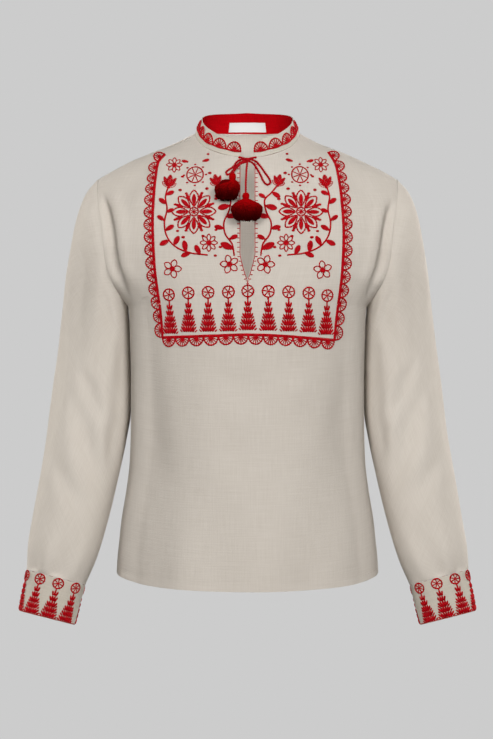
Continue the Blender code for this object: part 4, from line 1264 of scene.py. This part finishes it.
def tree(rows, x, top, base, top_w, base_w, loops=(3, 4, 5, 6, 7), thread_w=2.8, stem_from=None):
    """Tiers of solid petals that spring up and outward, wider downward."""
    if stem_from is not None:
        line(rows, [(x, stem_from), (x, top - 2)], thread_w * 0.8, 2.4, smooth=False)
    tall = (top - base) / len(loops)
    for i, count in enumerate(loops):
        share = i / (len(loops) - 1)
        w = top_w + (base_w - top_w) * share**1.15
        foot = top - tall * (i + 1)
        for k in range(count):
            u = -1 + 2 * k / (count - 1)
            bx, tx = x + u * w * 0.21, x + u * w * 0.455
            tz = foot + tall * (1.24 - 0.26 * abs(u))
            rows.append((bx, foot, tx, tz, thread_w * (1.0 + 0.06 * (k % 2))))
            if i >= 2:
                rows.append((bx + u * w * 0.14, foot - 0.2, tx + u * 1.4, foot + tall * 0.42, thread_w * 0.8))


def leaf(rows, x, z, angle, length, width, thread_w=1.2):
    """A filled leaf of slanted stitches on both sides of a vein."""
    u = np.array([math.cos(angle), math.sin(angle)])
    v = np.array([-u[1], u[0]])
    o = np.array([x, z])
    count = max(4, int(length / 1.7))
    for i in range(count):
        t = (i + 0.6) / (count + 0.6)
        half_w = width / 2 * math.sin(math.pi * t**0.85) ** 0.8
        for sign in (-1, 1):
            s = o + u * (t * length - 0.8)
            e = o + u * min(t * length + half_w * 0.55, length) + v * sign * half_w
            rows.append((*s, *e, thread_w))
    rows.append((*o, *(o + u * length), thread_w * 0.9))


def leaf_open(rows, x, z, angle, length, width, thread_w=1.2):
    petal(rows, x, z, angle, length, width, thread_w, fill=False, parts=5)
    u = np.array([math.cos(angle), math.sin(angle)])
    v = np.array([-u[1], u[0]])
    o = np.array([x, z])
    rows.append((*(o + u * length * 0.1), *(o + u * length * 0.85), thread_w * 0.7))
    for t in (0.3, 0.5, 0.68):
        for sign in (-1, 1):
            s = o + u * length * t
            e = s + u * length * 0.12 + v * sign * width * 0.26
            rows.append((*s, *e, thread_w * 0.6))


def small_flower(rows, x, z, radius, thread_w=1.7, petals=5, start=90.0):
    for i in range(petals):
        a = math.radians(start + 360.0 * i / petals)
        petal(rows, x + 1.2 * math.cos(a), z + 1.2 * math.sin(a), a, radius - 1.2, radius * (0.62 if petals < 7 else 0.44), thread_w, fill=False, parts=5)
        rows.append((x, z, x + radius * 0.36 * math.cos(a), z + radius * 0.36 * math.sin(a), thread_w * 0.9))
    dot(rows, x, z, 1.8)


def tulip(rows, x, z, angle, size, thread_w=1.25):
    for off, length, width in ((-0.52, 0.92, 0.34), (0.52, 0.92, 0.34), (0.0, 1.0, 0.46)):
        leaf(rows, x, z, angle + off, size * length, size * width, thread_w)
    for off in (-0.95, 0.95):
        leaf_open(rows, x, z, angle + off, size * 0.62, size * 0.26, thread_w * 0.8)
    dot(rows, x, z, size * 0.11)


def rosette(rows, x, z, radius, thread_w=1.3, petals=8):
    for i in range(petals):
        a = math.tau * i / petals + math.pi / 2
        petal(rows, x + radius * 0.24 * math.cos(a), z + radius * 0.24 * math.sin(a), a, radius * 0.74, radius * 0.40, thread_w, fill=False, parts=6)
        leaf(rows, x + radius * 0.30 * math.cos(a), z + radius * 0.30 * math.sin(a), a, radius * 0.52, radius * 0.20, thread_w * 0.9)
        b = a + math.pi / petals
        rows.append((x + radius * 0.50 * math.cos(b), z + radius * 0.50 * math.sin(b), x + radius * 0.78 * math.cos(b), z + radius * 0.78 * math.sin(b), thread_w * 0.7))
        dot(rows, x + radius * 0.90 * math.cos(b), z + radius * 0.90 * math.sin(b), radius * 0.065)
    circle(rows, x, z, radius * 0.20, thread_w, 12)
    for i in range(8):
        a = math.tau * (i + 0.5) / 8
        rows.append((x, z, x + radius * 0.17 * math.cos(a), z + radius * 0.17 * math.sin(a), thread_w * 0.7))


# border: the thick inner line, left side, bottom and right side, x z
BORDER_LEFT = ((-118.5, -29.0), (-127.9, -43.0), (-130.6, -65.8), (-132.2, -89.5), (-133.7, -122.7), (-132.6, -161.0), (-130.9, -190.0), (-127.6, -239.5), (-124.6, -293.0))
BORDER_BOTTOM = ((-124.6, -293.4), (-88.7, -291.8), (-51.2, -290.2), (-1.0, -288.6), (49.2, -290.3), (86.4, -293.4), (126.6, -297.0))
BORDER_RIGHT = ((116.2, -26.0), (126.0, -46.0), (130.6, -76.0), (133.1, -102.5), (135.1, -141.2), (133.9, -185.0), (130.9, -239.5), (126.8, -296.6))
# wheels of the tree row: x, z
TREE_ROW = ((-111.5, -232.5), (-83.2, -229.9), (-55.0, -229.3), (-26.7, -228.8), (0.4, -227.4), (29.0, -227.9), (57.5, -228.7), (85.8, -230.1), (112.8, -233.6))

chest = []
for points in (BORDER_LEFT, BORDER_BOTTOM, BORDER_RIGHT):
    satin_line(chest, points, 5.0, 1.75, 1.30)


def border_fans(rows, points, side, pitches, height, spokes, thread_w):
    q = run_points(points, 0.5)
    run = np.concatenate([[0], np.cumsum(np.linalg.norm(np.diff(q, axis=0), axis=1))])
    pitches = np.array(pitches) * run[-1] / sum(pitches)
    at = 0.0
    for pitch in pitches:
        s = at + pitch / 2
        at += pitch
        c = np.array([np.interp(s, run, q[:, k]) for k in range(2)])
        f = np.array([np.interp(s + 3, run, q[:, k]) for k in range(2)]) - np.array([np.interp(s - 3, run, q[:, k]) for k in range(2)])
        f /= np.hypot(*f)
        # sides turn away from the viewer, so that a stitch's own width shrinks
        fan(rows, c[0], c[1], f[0], f[1], pitch * 1.02, height, side, base=1.6, spokes=spokes, thread_w=thread_w)


border_fans(chest, BORDER_LEFT, -1, [16.0 + 0.32 * k for k in range(15)], 11.0, 6, 1.95)
border_fans(chest, BORDER_RIGHT, 1, [16.0 + 0.32 * k for k in range(15)], 11.0, 6, 1.95)
border_fans(chest, BORDER_BOTTOM, -1, [20.8] * 12, 12.0, 7, 2.0)
embroidery = [sew("stitches_border", chest, front_place, FLOSS)]

trees = []
for x, z in TREE_ROW:
    drop = abs(x) / 112.0
    wheel(trees, x, z, 8.3, 6, 2.35, start=0.5 + 0.31 * x / 28.0)
    tree(trees, x, z - 13.6, z - 54.8 - 0.6 * drop, 8.6, 25.5, stem_from=z - 9.2)
embroidery.append(sew("stitches_trees", trees, front_place, FLOSS))

# generic garden of leaves and flowers in the picture's place, the same on
# both sides of the slit
picture = []
VINE = ((18.5, -178.0), (21.5, -162.0), (31.0, -148.0), (33.0, -132.0), (26.0, -116.0), (24.0, -100.0), (33.0, -90.0), (41.0, -80.0))
OUTER_VINE = ((56.0, -177.0), (80.0, -174.0), (101.0, -165.0), (113.0, -150.0), (116.5, -131.0), (113.0, -112.0), (115.5, -94.0), (112.0, -80.0))
# x, z, direction in degrees, length
VINE_LEAVES = (
    (19.6, -169.0, 25, 17.0), (25.0, -155.0, 155, 11.0), (33.0, -140.0, 12, 12.0), (30.5, -124.0, 170, 13.0),
    (24.4, -108.0, -12, 15.0), (25.6, -97.0, 150, 10.0), (34.0, -88.5, -30, 12.0),
)
OUTER_LEAVES = (
    (66.0, -176.5, 62, 13.0), (80.0, -174.0, -20, 12.0), (86.0, -172.5, 80, 14.0), (103.0, -163.5, 118, 13.0), (109.5, -156.0, -25, 13.0),
    (115.0, -142.0, 150, 12.0), (116.5, -128.0, 35, 11.0), (114.0, -116.0, 158, 10.0), (113.6, -104.0, 35, 12.0), (115.0, -91.0, 155, 11.0),
)
DOTS = ((57.0, -83.0, 2.4), (95.0, -84.0, 2.4), (53.0, -60.0, 2.4), (92.0, -64.0, 2.0), (56.0, -31.0, 1.8),
        (45.0, -178.0, 2.2), (38.0, -166.0, 2.2), (62.0, -150.5, 2.2), (90.0, -152.0, 2.4), (98.0, -143.0, 2.0), (44.0, -98.0, 2.4), (44.0, -142.0, 2.0))
for half in (-1, 1):
    part = []
    rosette(part, 75.0, -116.0, 32.0, 2.25)
    for k in range(8):
        a = math.tau * (k + 0.5) / 8
        leaf(part, 75.0 + 17.5 * math.cos(a), -116.0 + 17.5 * math.sin(a), a, 12.5, 4.6, 1.7)
    line(part, VINE, 2.4)
    tulip(part, 42.5, -79.0, math.radians(78), 18.0, 1.5)
    line(part, OUTER_VINE, 2.4)
    tulip(part, 111.5, -80.0, math.radians(98), 20.0, 1.5)
    for x, z, angle, size in VINE_LEAVES + OUTER_LEAVES:
        leaf(part, x, z, math.radians(angle), size * 1.2, size * 0.62, 1.9)
    wheel(part, 74.0, -62.0, 12.0, 8, 2.2)
    for k in range(8):
        a = math.tau * k / 8
        dot(part, 74.0 + 15.8 * math.cos(a), -62.0 + 15.8 * math.sin(a), 1.5)
    small_flower(part, 104.0, -46.0, 11.5, 1.7, 8)
    leaf(part, 84.0, -42.0, math.radians(15), 11.0, 5.0, 1.6)
    leaf(part, 64.0, -42.0, math.radians(165), 11.0, 5.0, 1.6)
    small_flower(part, 54.0, -160.0, 12.5, 1.75, 8)
    for x, z, size in DOTS:
        dot(part, x, z, size)
    for a0, b0, a1, b1, w in part:
        picture.append((half * a0, b0, half * a1, b1, w))
for x, z, start in ((-25.0, -190.2, 105.0), (25.1, -190.2, 72.0), (-105.4, -196.0, 70.0), (105.4, -197.8, 98.0)):
    small_flower(picture, x, z, 13.4, 1.8, 5, start)
embroidery.append(sew("stitches_flowers", picture, front_place, FLOSS))

# blanket stitch round the slit
slit = []
levels = np.linspace(-42.0, SLIT_TIP_Z - 1.0, 66)
for half in (-1, 1):
    edge = [(half * (float(slit_half(z)) + 0.9), z) for z in levels]
    line(slit, edge, 1.1, 2.8, smooth=False)
    run = run_points([(float(slit_half(z)) + 0.9, z) for z in levels], 6.6, False)
    for x, z in run[1:]:
        slit.append((half * (x + 0.2), z, half * (x + 4.5), z + 0.2, 1.35))
for k in range(3):
    slit.append((-2.8 + 0.4 * k, -213.5 - 3.2 * k, 2.8 - 0.4 * k, -213.5 - 3.2 * k, 1.1))
slit.append((0.0, -211.5, 0.0, -222.5, 1.1))
embroidery.append(sew("stitches_slit", slit, front_place, FLOSS))

# collar: fans round the band, domes up
band = []
first, pitch = 13.0, 24.3
count = int(round(2 * (COLLAR_HALF_ROUND - first) / pitch))
pitch = 2 * (COLLAR_HALF_ROUND - first) / count
for k in range(count + 1):
    a = -COLLAR_HALF_ROUND + first + pitch * k
    fan(band, a, 8.0, 1.0, 0.0, pitch * 0.99, 14.2, 1.0, thread_w=2.1, base=0.4, spokes=7, hub=0.26)
    for i in range(13):
        u = -0.46 + 0.92 * i / 12
        tall = 3.0 * (1 - (u / 0.50) ** 2) + 1.8
        dip = 1.5 * (1 - (u / 0.50) ** 2)
        band.append((a + u * pitch, 7.8 - dip, a + u * pitch, 7.8 - dip + tall, 2.0))
collar_stitches = sew("stitches_collar", band, collar_place, FLOSS)

# cuffs: trees all round
CUFF_TREES = (-49.9, -23.2, 3.5, 30.2, 70.0, 97.0, 124.0, 151.0)
CUFF_LEAN = 0.085
for half in (-1, 1):
    rows = []
    for k, a in enumerate(CUFF_TREES):
        wheel(rows, a, -7.6, 7.5, 7, 2.3, start=0.4 + 0.2 * k)
        tree(rows, a, -18.8, -58.6, 8.8, 26.0, stem_from=-15.6)
    line(rows, [(0, -59.0), (CUFF_ROUND - 0.5, -59.0)], 1.2, 2.8, smooth=False)
    # the trees lean: their wheels lie nearer the inner side
    rows = [(a0 + CUFF_LEAN * (b0 + 58.6), -b0, a1 + CUFF_LEAN * (b1 + 58.6), -b1, w) for a0, b0, a1, b1, w in rows]
    name = "stitches_cuff_left" if half < 0 else "stitches_cuff_right"
    sew(name, rows, cuff_place(half), FLOSS)

# hem stitch line, front and back
hem_rows = {-1: [], 1: []}
for side in (-1, 1):
    share = np.linspace(-0.985, 0.985, 150)
    pts = [(s * float(half_at(-636.0)), float(hem_height(abs(s))) + 8.6) for s in share]
    q = run_points(pts, 3.4, False)
    for i in range(len(q) - 1):
        d = q[i + 1] - q[i]
        hem_rows[side].append((*(q[i] + d * 0.12), *(q[i + 1] - d * 0.12), 0.55))
hem_front = sew("stitches_hem_front", hem_rows[-1], front_place, HEM_THREAD)
hem_back = sew("stitches_hem_back", hem_rows[1], body_place(1), HEM_THREAD)

# --------------------------------------------------------------- pieces, hiding their CAD parts
PIECES = (
    (front, "front", "linen"), (back, "back", "linen"),
    (sleeve_left, "sleeve_left", "linen"), (sleeve_right, "sleeve_right", "linen"),
    (cuff_left, "cuff_left", "cuff_linen"), (cuff_right, "cuff_right", "cuff_linen"),
    (collar, "collar", "collar_linen"), (facing, "collar_facing", "facing_cotton"),
    (label, "label", "label_satin"),
)
for piece, node, slot in PIECES:
    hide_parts(node)
# flat size of each cut piece: width, length in metres, and its own area
FLAT = {
    "front_cloth": (0.56, 0.70), "back_cloth": (0.56, 0.72),
    "sleeve_left_cloth": (0.40, 0.66), "sleeve_right_cloth": (0.40, 0.66),
    "cuff_left_cloth": (0.245, 0.060), "cuff_right_cloth": (0.245, 0.060),
    "collar_cloth": (0.46, 0.034), "collar_facing_cloth": (0.45, 0.033),
    "label_satin_strip": (0.055, 0.014),
}
for piece, node, slot in PIECES:
    w, l = FLAT[piece.name]

# ----------------------------------------------------------- floor and light
PALE = 0.604


def pale_paper(name):
    """A plain lit background that adds no light of its own to the cloth."""
    material, tree, shader = nodes_of(name)
    shader.inputs["Base Color"].default_value = (0.0, 0.0, 0.0, 1.0)
    shader.inputs["Roughness"].default_value = 1.0
    shader.inputs["Specular IOR Level"].default_value = 0.0
    shader.inputs["Emission Color"].default_value = (PALE, PALE, PALE, 1.0)
    shader.inputs["Emission Strength"].default_value = 1.0
    return material


def only_seen(obj):
    obj.visible_diffuse = False
    obj.visible_glossy = False
    obj.visible_transmission = False
    obj.visible_shadow = False


world = bpy.data.worlds.new("studio")
scene.world = world
world.use_nodes = True
world.node_tree.nodes["Background"].inputs["Color"].default_value = (0.080, 0.074, 0.064, 1.0)
world.node_tree.nodes["Background"].inputs["Strength"].default_value = 1.0

# backdrop: a wide round room
rows, sides, reach = 13, 32, 9.0
dome_points, dome_faces = [], []
for i in range(rows + 1):
    a = math.pi * i / rows
    for j in range(sides):
        b = math.tau * j / sides
        dome_points.append((reach * math.sin(a) * math.cos(b), reach * math.sin(a) * math.sin(b), reach * math.cos(a)))
for i in range(rows):
    for j in range(sides):
        k = (j + 1) % sides
        dome_faces.append((i * sides + j, (i + 1) * sides + j, (i + 1) * sides + k, i * sides + k))
dome_mesh = bpy.data.meshes.new("backdrop")
dome_mesh.from_pydata(dome_points, [], dome_faces)
dome = bpy.data.objects.new("backdrop", dome_mesh)
scene.collection.objects.link(dome)
dome_mesh.materials.append(pale_paper("backdrop_paper"))
only_seen(dome)

floor_mesh = bpy.data.meshes.new("floor")
ring = [(5.0 * math.cos(a), 5.0 * math.sin(a) + 1.0, -1.05) for a in np.linspace(0, math.tau, 64, endpoint=False)]
floor_mesh.from_pydata(ring, [], [list(range(64))])
floor = bpy.data.objects.new("floor", floor_mesh)
scene.collection.objects.link(floor)
floor_mesh.materials.append(pale_paper("floor_paper"))
only_seen(floor)


def area_light(name, place, target, size, power, colour=(1.0, 1.0, 1.0)):
    data = bpy.data.lights.new(name, "AREA")
    data.shape = "DISK"
    if isinstance(size, tuple):
        data.shape = "RECTANGLE"
        data.size, data.size_y = size
    else:
        data.size = size
    data.energy = power
    data.color = colour
    obj = bpy.data.objects.new(name, data)
    scene.collection.objects.link(obj)
    obj.location = place
    obj.rotation_euler = (Vector(target) - Vector(place)).to_track_quat("-Z", "Y").to_euler()
    obj.visible_camera = False
    return obj


WARM = (1.0, 0.992, 0.985)
area_light("key", (1.0, -3.15, 0.52), (0.0, 0.0, -0.32), 1.1, 61.0, WARM)
area_light("fill", (-0.85, -3.2, 0.5), (0.0, 0.0, -0.35), 1.1, 53.5, WARM)
area_light("side_right", (2.6, 1.35, -0.2), (0.0, 0.0, -0.35), 1.2, 56.0, (1.0, 0.975, 0.94))
area_light("side_left", (-2.6, 1.35, -0.2), (0.0, 0.0, -0.35), 1.2, 64.0, (1.0, 0.975, 0.94))
area_light("back", (1.7, 2.8, 0.6), (0.0, 0.0, -0.35), 1.0, 44.0, WARM)
area_light("top", (0.0, -0.3, 2.6), (0.0, 0.0, -0.2), 1.8, 17.0)
area_light("bounce", (0.0, -0.3, -2.4), (0.0, 0.0, -0.3), 1.8, 3.5, (1.0, 0.97, 0.93))
area_light("inside", (0.0, -0.045, -0.14), (0.0, 0.1, -0.13), (0.09, 0.22), 0.17, WARM)
